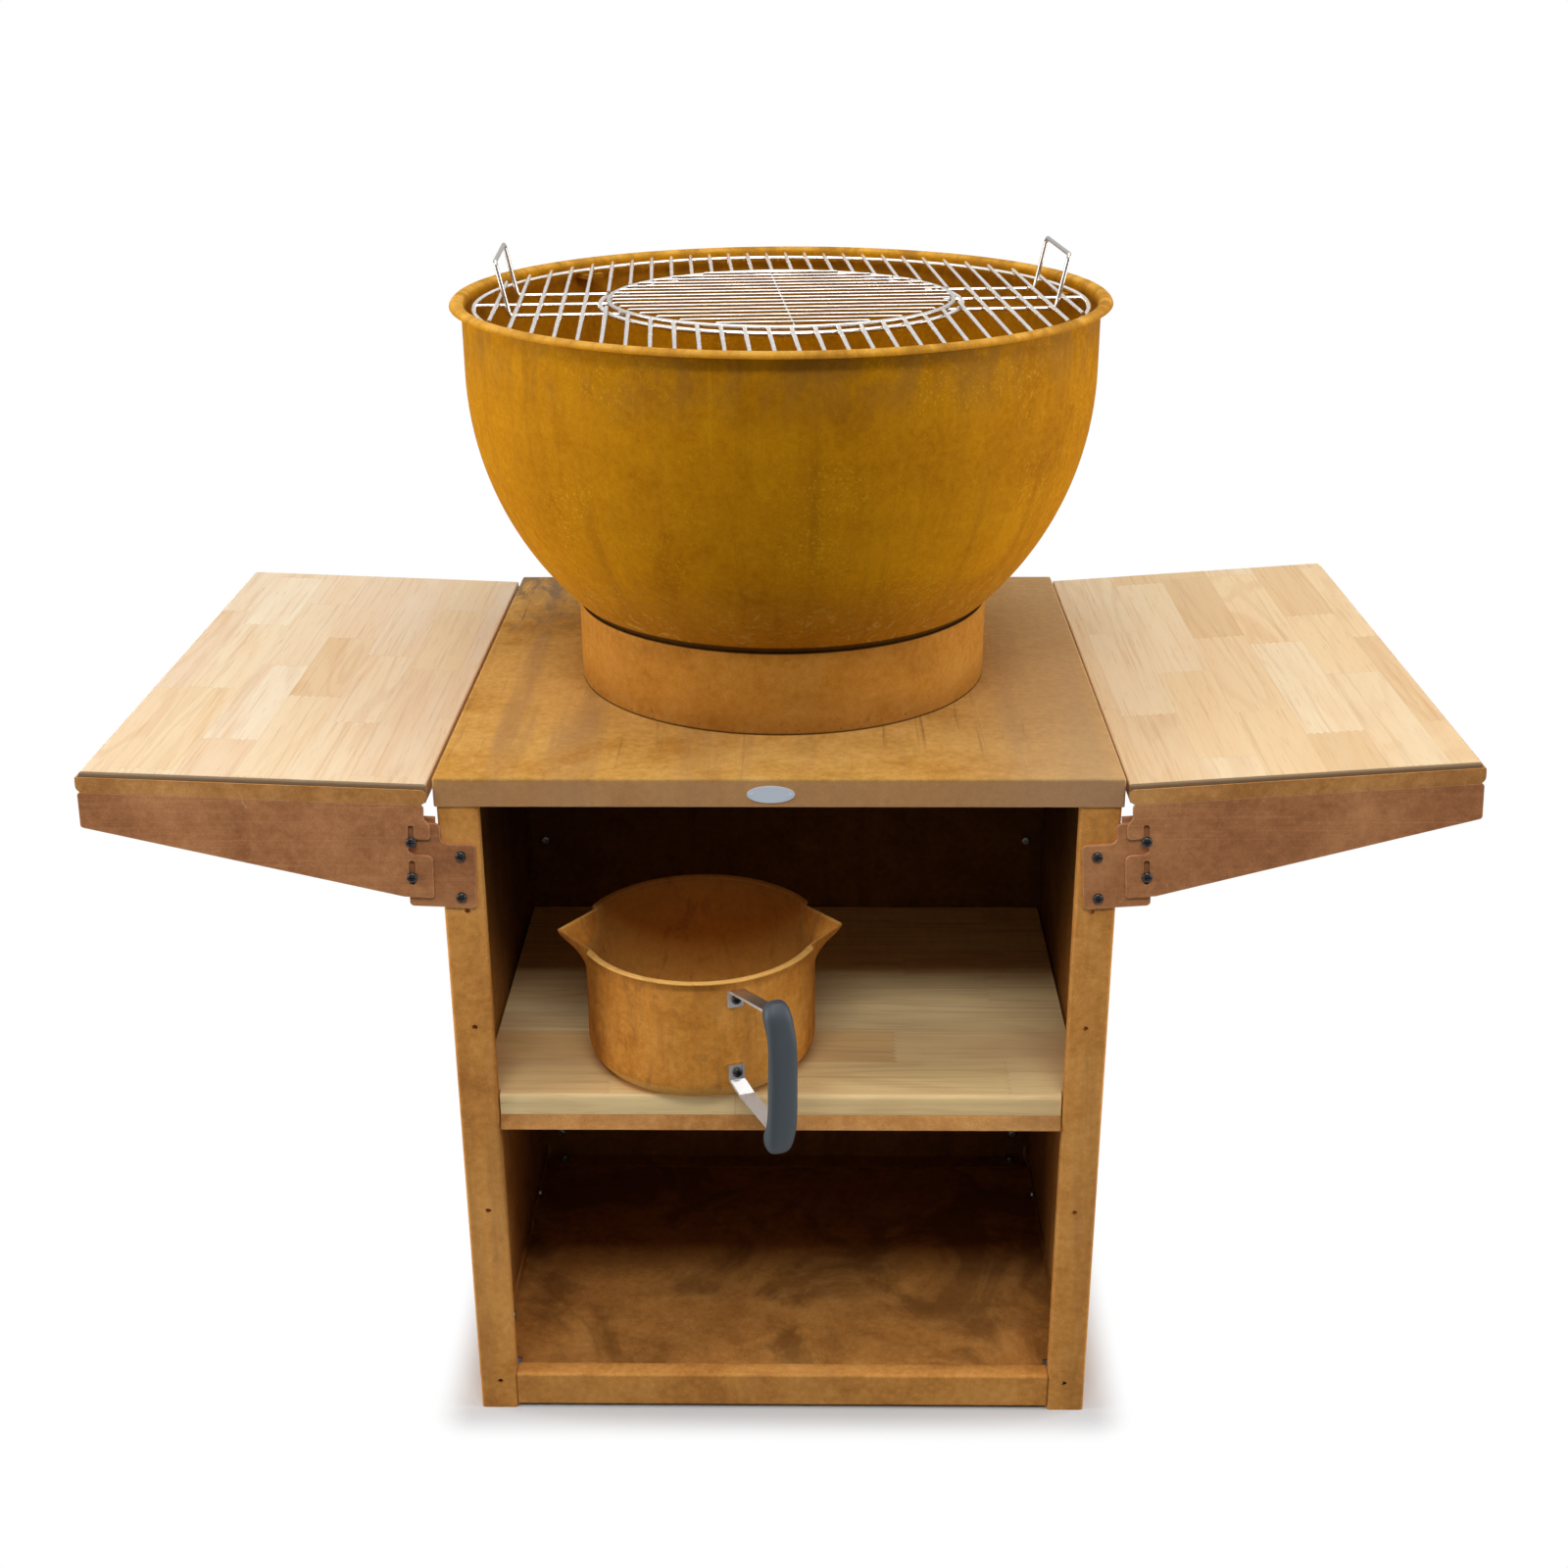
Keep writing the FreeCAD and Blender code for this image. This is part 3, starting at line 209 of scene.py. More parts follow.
cabinet_rust = rust(
    "cabinet_rust", srgb(190, 127, 62), srgb(217, 151, 76), srgb(231, 167, 91), 6.0,
    straight((26, 26, 2.2)), srgb(140, 96, 58), 0.45, srgb(112, 74, 46), 0.6, [painted_inside_shade],
)
paint(
    cabinet_rust, "left_front_post", "right_front_post", "left_rear_post", "right_rear_post",
    "left_side_panel", "right_side_panel", "back_panel", "corner_angles",
)
floor_rust = rust(
    "floor_rust", srgb(190, 127, 62), srgb(217, 151, 76), srgb(231, 167, 91), 7.0,
    straight((3, 22, 3)), srgb(140, 96, 58), 0.4, srgb(112, 74, 46), 0.5, [clouded, shaded_floor],
)
paint(floor_rust, "bottom_tray")

# Top plate and collar ring: a folded steel cap with a rolled and welded ring on it.
# Golden-orange rust with grey-brown brush streaks from front to rear and slate marks at the
# back left; the ring is smoother and browner, darker and speckled towards its foot, with painted shade
# lines at its foot and along its top edge under the bowl.
TOP_Z = 0.678
COLLAR_TOP = 0.756
SLATE_X = (-0.16, -0.29)
SLATE_Y = (0.02, 0.22)
PALER_RIGHT_X = (0.12, 0.28)


def brush_marks(tree, here, color):
    thin = noise(tree, stretched(tree, here, (130, 3.2, 3)), 1.0, 4, 0.6, 0.4)
    reach = noise(tree, here, 8, 3, 0.5)
    dark = times(tree, between(tree, thin, 0.58, 0.72), between(tree, reach, 0.42, 0.62), 0.6)
    return blend(tree, dark, color, srgb(112, 80, 54))


def slate_marks(tree, here, color):
    left = between(tree, along(tree, here, 0), *SLATE_X)
    rear = between(tree, along(tree, here, 1), *SLATE_Y)
    stain = noise(tree, stretched(tree, here, (40, 14, 10)), 1.0, 6, 0.65, 1.0)
    mask = times(tree, left, rear, between(tree, stain, 0.42, 0.6), 0.7)
    return blend(tree, mask, color, srgb(104, 92, 84))


# The right part of the top and the front skirt are painted a paler, greyer tone.
def paler_right_and_skirt(tree, here, color):
    right = between(tree, along(tree, here, 0), *PALER_RIGHT_X)
    color = blend(tree, times(tree, right, 0.7), color, srgb(184, 152, 112))
    skirt = between(tree, along(tree, here, 2), TOP_Z - 0.0015, TOP_Z - 0.0045)
    return blend(tree, times(tree, skirt, 0.6), color, srgb(184, 138, 104))


top_rust = rust(
    "top_rust", srgb(184, 130, 55), srgb(204, 154, 78), srgb(217, 168, 94), 6.0,
    straight((30, 1.6, 1.6)), srgb(166, 126, 84), 0.6, srgb(92, 62, 44), 0.5,
    [brush_marks, slate_marks, paler_right_and_skirt],
)
paint(top_rust, "top_plate")


def vector(tree, operation, *values):
    return node(tree, "ShaderNodeVectorMath", dict(enumerate(values)), operation=operation).outputs[0]


def around(centre_x, centre_y, turns, rise):
    def run(tree, here):
        out = vector(tree, "SUBTRACT", here, (centre_x, centre_y, 0))
        ring = vector(tree, "NORMALIZE", vector(tree, "MULTIPLY", out, (1, 1, 0)))
        wide = vector(tree, "MULTIPLY", ring, (turns, turns, 0))
        return vector(tree, "MULTIPLY_ADD", here, (0, 0, rise), wide)
    return run


def darker_foot_and_shade_lines(tree, here, color):
    height = along(tree, here, 2)
    low = between(tree, height, TOP_Z + 0.034, TOP_Z + 0.002)
    specks = between(tree, noise(tree, here, 300, 3, 0.6), 0.58, 0.68)
    color = blend(tree, times(tree, low, 0.35), color, srgb(120, 70, 30))
    color = blend(tree, times(tree, low, specks, 0.6), color, srgb(84, 52, 30))
    # Painted shade: dark lines where the ring meets the top plate and along its top edge under the bowl.
    foot_shade_line = between(tree, height, TOP_Z + 0.0025, TOP_Z + 0.001)
    seat_shade_edge = between(tree, height, COLLAR_TOP - 0.001, COLLAR_TOP - 0.0002)
    lines = calc(tree, "MAXIMUM", foot_shade_line, seat_shade_edge)
    return blend(tree, times(tree, lines, 0.8), color, srgb(48, 28, 12))


ring_rust = rust(
    "ring_rust", srgb(162, 104, 34), srgb(180, 121, 43), srgb(190, 134, 58), 5.0,
    around(0, 0, 3, 40), srgb(150, 98, 40), 0.35, srgb(140, 98, 52), 0.5, [darker_foot_and_shade_lines],
)
paint(ring_rust, "collar_ring")

# Name plate: a blank oval of pale brushed aluminium, cut from thin sheet.
# Two small pins hold it on the front skirt of the top plate.
plate_alu, tree, shader = new_material("plate_alu")
here = object_space(tree)
brushed = noise(tree, stretched(tree, here, (60, 1500, 1500)), 1.0, 3, 0.6)
plate_tone = blend(tree, brushed, srgb(196, 208, 222), srgb(222, 230, 240))
tree.links.new(plate_tone, shader.inputs["Base Color"])
tree.links.new(between(tree, brushed, 0.3, 0.7, 0.34, 0.5), shader.inputs["Roughness"])
shader.inputs["Metallic"].default_value = 0.25
paint(plate_alu, "name_plate", "name_plate_pins")

# Table brackets, backing plates, arms and trays: thicker laser-cut and bent steel.
# Red-brown rust with fine brush lines, lighter along the cut edges where it has rubbed.


def rolled_lines(tree, here, color):
    lines = noise(tree, stretched(tree, here, (5, 60, 420)), 1.0, 3, 0.6)
    scuff = noise(tree, stretched(tree, here, (60, 60, 22)), 1.0, 4, 0.7, 1.2)
    color = blend(tree, between(tree, lines, 0.5, 0.75, 0.0, 0.35), color, srgb(216, 154, 104))
    return blend(tree, between(tree, scuff, 0.68, 0.74, 0.0, 0.55), color, srgb(226, 178, 130))


arm_rust = rust(
    "arm_rust", srgb(164, 108, 70), srgb(188, 128, 84), srgb(202, 142, 94), 7.0,
    straight((6, 6, 16)), srgb(150, 98, 64), 0.4, srgb(228, 186, 142), 0.9, [rolled_lines],
)
paint(arm_rust, "bracket_backings")
for side in ("left", "right"):
    paint(
        arm_rust, side + "_front_bracket", side + "_rear_bracket", side + "_front_arm",
        side + "_rear_arm",
    )
tray_rust = rust(
    "tray_rust", srgb(178, 122, 66), srgb(203, 145, 84), srgb(218, 162, 98), 7.0,
    straight((6, 6, 16)), srgb(148, 102, 62), 0.5, srgb(116, 80, 52), 0.5,
)
paint(tray_rust, "left_table_tray", "right_table_tray", "shelf_tray")

# Fasteners: blackened pan-head screws hold the brackets, table boards and pot straps.
# Turned steel bushes and zinc-plated bolts, studs and nuts do the rest, mostly out of sight.
black_screw, tree, shader = new_material("black_screw")
here = object_space(tree)
worn = noise(tree, here, 900, 4, 0.6)
screw_tone = blend(tree, between(tree, worn, 0.45, 0.75), srgb(54, 53, 54), srgb(112, 108, 107))
tree.links.new(screw_tone, shader.inputs["Base Color"])
tree.links.new(between(tree, worn, 0.3, 0.7, 0.22, 0.4), shader.inputs["Roughness"])
shader.inputs["Metallic"].default_value = 0.9
paint(
    black_screw, "bracket_screws", "lock_screws", "pivot_screws", "pot_screws",
    "left_board_screws", "right_board_screws",
)
zinc, tree, shader = new_material("zinc")
here = object_space(tree)
spangle = noise(tree, here, 700, 4, 0.6)
zinc_tone = blend(tree, spangle, srgb(120, 118, 112), srgb(190, 190, 186))
tree.links.new(zinc_tone, shader.inputs["Base Color"])
tree.links.new(between(tree, spangle, 0.3, 0.7, 0.3, 0.5), shader.inputs["Roughness"])
shader.inputs["Metallic"].default_value = 1.0
paint(
    zinc, "bracket_nuts", "pin_nuts", "cabinet_bolts", "cabinet_nuts", "top_plate_nuts",
    "top_plate_studs", "left_pivot_bushes", "right_pivot_bushes",
)

# Boards of the tables and the shelf: rubberwood staves, finger-jointed end to end and glued
# side by side, then oiled. Each stave has its own tone, flame figure and fine dark pores.
FINGER_PITCH = 0.0068
FINGER_DEEP = 0.0045
SEAM_HALF = 0.00045
BUTT_HALF = 0.0005
BOARD_FRONT = -0.2989
LEFT_TILT = math.radians(2.3)
RIGHT_TILT = math.radians(4.0)
pale = [
    srgb(220, 192, 152), srgb(230, 209, 176), srgb(225, 200, 169), srgb(232, 217, 190), srgb(227, 202, 162),
]
warm = [
    srgb(215, 183, 139), srgb(230, 203, 160), srgb(223, 195, 154), srgb(231, 210, 174), srgb(219, 187, 141),
]
plain = [
    srgb(243, 203, 138), srgb(254, 229, 171), srgb(250, 219, 156), srgb(255, 233, 179), srgb(240, 198, 133),
]


def wood(name, turn, across, lengthwise, stave_width, stave_length, tones):
    made, tree, shader = new_material(name)
    here = stretched(tree, object_space(tree), (1, 1, 1), turn)
    side = along(tree, here, across)
    length = along(tree, here, lengthwise)
    wide = calc(tree, "DIVIDE", side, stave_width)
    row = calc(tree, "FLOOR", wide)
    teeth = calc(tree, "PINGPONG", side, FINGER_PITCH / 2)
    teeth = times(tree, teeth, FINGER_DEEP / FINGER_PITCH * 2)
    run = calc(tree, "DIVIDE", calc(tree, "ADD", length, teeth), stave_length)
    run = calc(tree, "ADD", run, times(tree, row, 13.37))
    cells = {"W": run, "Scale": 1.0, "Randomness": 0.75}
    stave = node(tree, "ShaderNodeTexVoronoi", cells, voronoi_dimensions="1D")
    ends = node(
        tree, "ShaderNodeTexVoronoi", cells, voronoi_dimensions="1D", feature="DISTANCE_TO_EDGE",
    ).outputs["Distance"]
    chance = stave.outputs["Color"]
    picked = along(tree, chance, 0)
    figured = along(tree, chance, 1)
    own = vector(tree, "MULTIPLY_ADD", chance, (31.0, 47.0, 23.0), here)
    slow = [4.0, 4.0, 4.0]
    slow[across] = 15.0
    slow[lengthwise] = 1.7
    flame = noise(tree, stretched(tree, own, slow), 1.0, 2, 0.45, 0.35)
    rings = calc(tree, "SINE", times(tree, flame, 58.0))
    rings = times(tree, between(tree, rings, -0.2, 1.0), between(tree, figured, 0.2, 0.9, 0.15, 0.85))
    thin = [1000.0, 1000.0, 1000.0]
    thin[lengthwise] = 30.0
    pores = noise(tree, stretched(tree, own, thin), 1.0, 2, 0.5)
    broad = noise(tree, stretched(tree, own, [value * 2 for value in slow]), 1.0, 4, 0.6)
    color = ramped(tree, picked, *[(i / (len(tones) - 1), tone) for i, tone in enumerate(tones)])
    color = blend(tree, between(tree, broad, 0.4, 0.7, 0.0, 0.35), color, srgb(222, 182, 134))
    color = blend(tree, times(tree, rings, 0.26), color, srgb(198, 150, 102))
    hair = [260.0, 260.0, 260.0]
    hair[lengthwise] = 5.0
    lines = noise(tree, stretched(tree, own, hair), 1.0, 3, 0.55)
    color = blend(tree, between(tree, lines, 0.5, 0.72, 0.0, 0.3), color, srgb(188, 142, 96))
    color = blend(tree, between(tree, pores, 0.6, 0.78, 0.0, 0.42), color, srgb(176, 130, 88))
    beside = calc(tree, "ABSOLUTE", calc(tree, "SUBTRACT", calc(tree, "FRACT", wide), 0.5))
    seam = between(tree, beside, 0.5 - SEAM_HALF / stave_width, 0.5)
    butt = between(tree, ends, BUTT_HALF / stave_length, 0.0)
    glue = times(tree, calc(tree, "MAXIMUM", times(tree, seam, 0.5), butt), 0.42)
    color = blend(tree, glue, color, srgb(164, 122, 82))
    sawn = between(tree, along(tree, object_space(tree), 1), BOARD_FRONT + 0.0005, BOARD_FRONT - 0.0005)
    color = blend(tree, times(tree, sawn, 0.9), color, srgb(122, 98, 72))
    tree.links.new(color, shader.inputs["Base Color"])
    tree.links.new(between(tree, pores, 0.3, 0.7, 0.52, 0.7), shader.inputs["Roughness"])
    shader.inputs["Specular IOR Level"].default_value = 0.2
    bumped(tree, shader, pores, 0.12, 0.0004)
    return made


paint(wood("left_wood", (0, -LEFT_TILT, 0), 0, 1, 0.050, 0.21, pale), "left_table_board")
paint(wood("right_wood", (0, RIGHT_TILT, 0), 0, 1, 0.052, 0.23, warm), "right_table_board")
paint(wood("shelf_wood", (0, 0, 0), 1, 0, 0.058, 0.36, plain), "shelf_board")

# Fire bowl: a hemisphere spun from steel sheet with a straight upper wall and a rolled rim,
# turned here from its profile; three lugs are welded inside. Golden rust with fine light
# speckle, run marks down the side, a brown band under the rim and scuffs above the collar,
# with a painted highlight along the rim's crest and painted shade where it sits in the collar.
BOWL_R = 0.295
BOWL_WALL = 0.003
BOWL_MID = 0.9773
RIM_Z = 1.037
ROLL_X = 0.299
ROLL_IN = 0.004
ROLL_OUT = 0.007
ROLL_END = 15
WALL_STEP = 0.02
BOWL_STEPS = 216
SCUFF_Z = (0.85, 0.775)
SEAT_LINE_Z = (0.7645, 0.7615)
SEAT_FOOT_Z = (0.748, 0.756)
RIM_BAND_Z = (0.965, 1.03)


def new_tree(name, *inputs):
    tree = bpy.data.node_groups.new(name, "GeometryNodeTree")
    tree.interface.new_socket("Geometry", in_out="INPUT", socket_type="NodeSocketGeometry")
    for label, kind in inputs + (("Material", "Material"),):
        tree.interface.new_socket(label, in_out="INPUT", socket_type="NodeSocket" + kind)
    tree.interface.new_socket("Geometry", in_out="OUTPUT", socket_type="NodeSocketGeometry")
    return tree, tree.nodes.new("NodeGroupInput").outputs


def close_tree(tree, geometry, material, crease=0.7):
    angle = node(tree, "GeometryNodeInputMeshEdgeAngle").outputs["Unsigned Angle"]
    sharp = node(tree, "FunctionNodeCompare", {0: angle, 1: crease}, operation="GREATER_THAN").outputs[0]
    whole = node(tree, "GeometryNodeRealizeInstances", {0: geometry}).outputs[0]
    smooth = node(tree, "GeometryNodeSetShadeSmooth", {0: whole, "Shade Smooth": True}).outputs[0]
    creased = node(tree, "GeometryNodeSetShadeSmooth", {
        0: smooth, "Selection": sharp, "Shade Smooth": False,
    }, domain="EDGE").outputs[0]
    painted = node(tree, "GeometryNodeSetMaterial", {"Geometry": creased, "Material": material})
    tree.links.new(painted.outputs[0], tree.nodes.new("NodeGroupOutput").inputs[0])


def made_by(tree, name, start, values):
    source = bpy.data.objects.new(name + "_start", start)
    bpy.context.scene.collection.objects.link(source)
    modifier = source.modifiers.new("shape", "NODES")
    modifier.node_group = tree
    for item in tree.interface.items_tree:
        if item.in_out == "INPUT" and item.name in values:
            modifier[item.identifier] = values[item.name]
    graph = bpy.context.evaluated_depsgraph_get()
    mesh = bpy.data.meshes.new_from_object(source.evaluated_get(graph), depsgraph=graph)
    source.modifiers.remove(modifier)
    bpy.data.objects.remove(source)
    mesh.name = name
    piece = bpy.data.objects.new(name, mesh)
    bpy.context.scene.collection.objects.link(piece)
    return piece


def polyline(name, points):
    mesh = bpy.data.meshes.new(name)
    mesh.from_pydata(points, [(i, i + 1) for i in range(len(points) - 1)], [])
    return mesh


def arc(radius, centre_x, centre_z, start, end, count):
    points = []
    for i in range(count + 1):
        angle = math.radians(start + (end - start) * i / count)
        points.append((centre_x + radius * math.cos(angle), 0, centre_z + radius * math.sin(angle)))
    return points


def spun_tree():
    tree, given = new_tree(
        "spun_shell", ("Steps", "Int"), ("Centre", "Vector"), ("Wall Radius", "Float"),
        ("Rim Height", "Float"), ("Spout Reach", "Float"), ("Spout Angle", "Float"),
        ("Spout Depth", "Float"), ("Turn", "Float"),
    )
    count = node(tree, "GeometryNodeAttributeDomainSize", {0: given["Geometry"]}).outputs["Point Count"]
    around_count = calc(tree, "ADD", given["Steps"], 1)
    grid = node(tree, "GeometryNodeMeshGrid", {
        "Size X": 1.0, "Size Y": 1.0, "Vertices X": around_count, "Vertices Y": count,
    }).outputs["Mesh"]
    place = node(tree, "GeometryNodeInputPosition").outputs[0]
    on_grid = node(tree, "ShaderNodeSeparateXYZ", {0: place}).outputs
    turn = times(tree, calc(tree, "ADD", on_grid[0], 0.5), 2 * math.pi)
    step = times(tree, calc(tree, "ADD", on_grid[1], 0.5), calc(tree, "SUBTRACT", count, 1))
    index = calc(tree, "ROUND", step)
    sampled = node(
        tree, "GeometryNodeSampleIndex", {"Geometry": given["Geometry"], "Value": place, "Index": index},
        data_type="FLOAT_VECTOR",
    )
    profile = node(tree, "ShaderNodeSeparateXYZ", {0: sampled.outputs["Value"]}).outputs
    radius, height = profile[0], profile[2]
    wall = given["Wall Radius"]
    away = calc(tree, "SUBTRACT", turn, given["Turn"])
    ahead = calc(tree, "ABSOLUTE", calc(tree, "COSINE", away))
    beside = calc(tree, "ABSOLUTE", calc(tree, "SINE", away))
    root_x = times(tree, wall, calc(tree, "COSINE", given["Spout Angle"]))
    root_y = times(tree, wall, calc(tree, "SINE", given["Spout Angle"]))
    slope = times(tree, calc(tree, "SUBTRACT", given["Spout Reach"], root_x), beside)
    edge = calc(tree, "DIVIDE", times(tree, given["Spout Reach"], root_y),
                calc(tree, "ADD", times(tree, root_y, ahead), slope))
    swell = calc(tree, "SUBTRACT", calc(tree, "MAXIMUM", calc(tree, "DIVIDE", edge, wall), 1.0), 1.0)
    off = calc(tree, "ARCCOSINE", calc(tree, "MINIMUM", ahead, 1.0))
    swell = times(tree, swell, calc(tree, "LESS_THAN", off, given["Spout Angle"]))
    low = calc(tree, "SUBTRACT", given["Rim Height"], given["Spout Depth"])
    swell = times(tree, swell, between(tree, height, low, given["Rim Height"]))
    body = times(tree, calc(tree, "MINIMUM", radius, wall), calc(tree, "ADD", swell, 1.0))
    lip_start = times(tree, given["Spout Angle"], 0.9)
    flare = between(tree, off, lip_start, times(tree, given["Spout Angle"], 1.02))
    lip = times(tree, calc(tree, "MAXIMUM", calc(tree, "SUBTRACT", radius, wall), 0.0), flare)
    out = calc(tree, "ADD", body, lip)
    out_x = times(tree, out, calc(tree, "COSINE", turn))
    out_y = times(tree, out, calc(tree, "SINE", turn))
    spot = node(tree, "ShaderNodeCombineXYZ", {0: out_x, 1: out_y, 2: height}).outputs[0]
    spot = vector(tree, "ADD", spot, given["Centre"])
    shaped = node(tree, "GeometryNodeSetPosition", {"Geometry": grid, "Position": spot}).outputs[0]
    closed = node(tree, "GeometryNodeMergeByDistance", {"Geometry": shaped, "Distance": 1e-5}).outputs[0]
    close_tree(tree, closed, given["Material"])
    return tree


spun = spun_tree()


def speckled(tree, here, color):
    dots = noise(tree, here, 330, 2, 0.5)
    herd = noise(tree, here, 11, 4, 0.55, 0.4)
    mask = times(tree, between(tree, dots, 0.56, 0.68), between(tree, herd, 0.45, 0.62), 0.5)
    return blend(tree, mask, color, srgb(214, 160, 30))


def rim_band_and_highlight(tree, here, color):
    up = between(tree, along(tree, here, 2), *RIM_BAND_Z)
    stain = noise(tree, around(0, 0, 8, 14)(tree, here), 1.0, 6, 0.65, 0.6)
    mask = times(tree, up, between(tree, stain, 0.4, 0.62), 0.6)
    color = blend(tree, mask, color, srgb(144, 98, 36))
    # Painted highlight: the crest of the rolled rim is lighter.
    crest_highlight = between(tree, along(tree, here, 2), RIM_Z + 0.002, RIM_Z + 0.006)
    crest_highlight = times(tree, crest_highlight, between(tree, stain, 0.36, 0.62, 0.65, 0.1))
    return blend(tree, crest_highlight, color, srgb(226, 176, 88))


def run_marks(tree, here, color):
    marks = noise(tree, around(0, 0, 40, 5)(tree, here), 1.0, 4, 0.6, 0.3)
    reach = noise(tree, here, 6, 3, 0.5)
    light = times(tree, between(tree, marks, 0.56, 0.72), between(tree, reach, 0.45, 0.65), 0.35)
    return blend(tree, light, color, srgb(204, 142, 12))


def scuffs_and_seat_shade(tree, here, color):
    height = along(tree, here, 2)
    low = between(tree, height, *SCUFF_Z)
    lines = noise(tree, around(0, 0, 16, 90)(tree, here), 1.0, 5, 0.7, 1.5)
    mask = times(tree, low, between(tree, lines, 0.55, 0.66), 0.6)
    color = blend(tree, times(tree, low, 0.3), color, srgb(158, 114, 44))
    color = blend(tree, mask, color, srgb(200, 158, 78))
    # Painted shade: a dark band where the bowl sits in the collar.
    seat_shade = times(tree, between(tree, height, *SEAT_LINE_Z), between(tree, height, *SEAT_FOOT_Z))
    return blend(tree, times(tree, seat_shade, 0.85), color, srgb(40, 24, 10))


bowl_rust = rust(
    "bowl_rust", srgb(158, 100, 2), srgb(179, 118, 4), srgb(192, 131, 7), 4.0,
    around(0, 0, 14, 2.2), srgb(152, 97, 8), 0.5, srgb(170, 116, 34), 0.3,
    [speckled, rim_band_and_highlight, run_marks, scuffs_and_seat_shade],
)
bowl_profile = arc(BOWL_R, 0, BOWL_MID, -90, 0, 44)
bowl_profile += [(BOWL_R, 0, BOWL_MID + WALL_STEP), (BOWL_R, 0, BOWL_MID + 2 * WALL_STEP)]
bowl_profile += arc(ROLL_IN, ROLL_X, RIM_Z, 180, ROLL_END, 14)
bowl_profile += arc(ROLL_OUT, ROLL_X, RIM_Z, ROLL_END, 180, 20)
bowl_profile += [(BOWL_R - BOWL_WALL, 0, BOWL_MID + 1.5 * WALL_STEP)]
bowl_profile += arc(BOWL_R - BOWL_WALL, 0, BOWL_MID, 0, -90, 44)
no_spouts = {
    "Wall Radius": 1.0, "Rim Height": 2.0, "Spout Reach": 1.0, "Spout Angle": 0.4, "Spout Depth": 0.1,
}
bowl = made_by(spun, "fire_bowl", polyline("bowl_profile", bowl_profile), {
    **no_spouts, "Steps": BOWL_STEPS, "Material": bowl_rust,
})
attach(bowl, "bowl")
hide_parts("bowl_shell")
paint(bowl_rust, "grate_lugs")

# Main grate: two rings with bars welded across them from front to rear, two cross wires and
# two bent handles, all of bright chromed wire. Six short seats inside the inner ring carry the
# centre grate.
GRATE_R = 0.284
GRATE_INNER = 0.168
GRATE_Z = 1.034
GRATE_BAR_Z = 1.038
GRATE_PITCH = 0.02015
GRATE_LAST = 13
BAR_IN = 0.005
SEAT_REACH = 0.008
GRATE_TURN = math.radians(4)
RING_WIRE = 0.0025
BAR_WIRE = 0.002
WELD = 0.0005
CENTRE_R = 0.160
HANDLE_Y = 0.057
HANDLE_FOOT = 0.2475
HANDLE_RISE = 0.048
HANDLE_LEAN = 0.0105
HANDLE_BEND = 0.0045
HANDLE_GREY_Z = (GRATE_BAR_Z + 0.003, GRATE_BAR_Z + 0.007)
RING_STEPS = 192
RING_SIDES = 14
WIRE_SIDES = 12
BEND_STEPS = 7

chrome, tree, shader = new_material("chrome_wire")
here = object_space(tree)
haze = noise(tree, here, 60, 5, 0.6)
scratch = noise(tree, here, 900, 3, 0.6)
bright = blend(tree, haze, srgb(232, 227, 219), srgb(244, 240, 233))
# The handles, where they rise above the bars, are given a darker grey.
handle_grey = between(tree, along(tree, here, 2), *HANDLE_GREY_Z, 0.0, 0.8)
bright = blend(tree, handle_grey, bright, srgb(160, 154, 146))
tree.links.new(bright, shader.inputs["Base Color"])
sheen = calc(tree, "ADD", between(tree, haze, 0.3, 0.7, 0.14, 0.26), times(tree, scratch, 0.06))
tree.links.new(sheen, shader.inputs["Roughness"])
shader.inputs["Metallic"].default_value = 1.0


def chord(tree, radius, offset):
    left = calc(tree, "SUBTRACT", times(tree, radius, radius), times(tree, offset, offset))
    return calc(tree, "SQRT", calc(tree, "MAXIMUM", left, 0.0))


def point(tree, x=0.0, y=0.0, z=0.0):
    return node(tree, "ShaderNodeCombineXYZ", {0: x, 1: y, 2: z}).outputs[0]


def row(tree, count, start, offset):
    return node(tree, "GeometryNodeMeshLine", {
        "Count": count, "Start Location": start, "Offset": offset,
    }).outputs[0]


def joined(tree, *pieces):
    made = tree.nodes.new("GeometryNodeJoinGeometry")
    for piece in pieces:
        tree.links.new(piece, made.inputs[0])
    return made.outputs[0]


def mirrored(tree, geometry, scale):
    return node(tree, "GeometryNodeTransform", {"Geometry": geometry, "Scale": scale}).outputs[0]


def as_curve(tree, mesh):
    return node(tree, "GeometryNodeMeshToCurve", {0: mesh}).outputs[0]


def circle(tree, radius, sides):
    return node(tree, "GeometryNodeCurvePrimitiveCircle", {
        "Resolution": sides, "Radius": radius,
    }).outputs[0]


def drawn(tree, curve, wire, sides):
    return node(tree, "GeometryNodeCurveToMesh", {
        "Curve": curve, "Profile Curve": circle(tree, wire, sides), "Fill Caps": True,
    }).outputs[0]


def lifted_ring(tree, radius, height, wire):
    ring = node(tree, "GeometryNodeTransform", {
        "Geometry": circle(tree, radius, RING_STEPS), "Translation": point(tree, z=height),
    }).outputs[0]
    return drawn(tree, ring, wire, RING_SIDES)


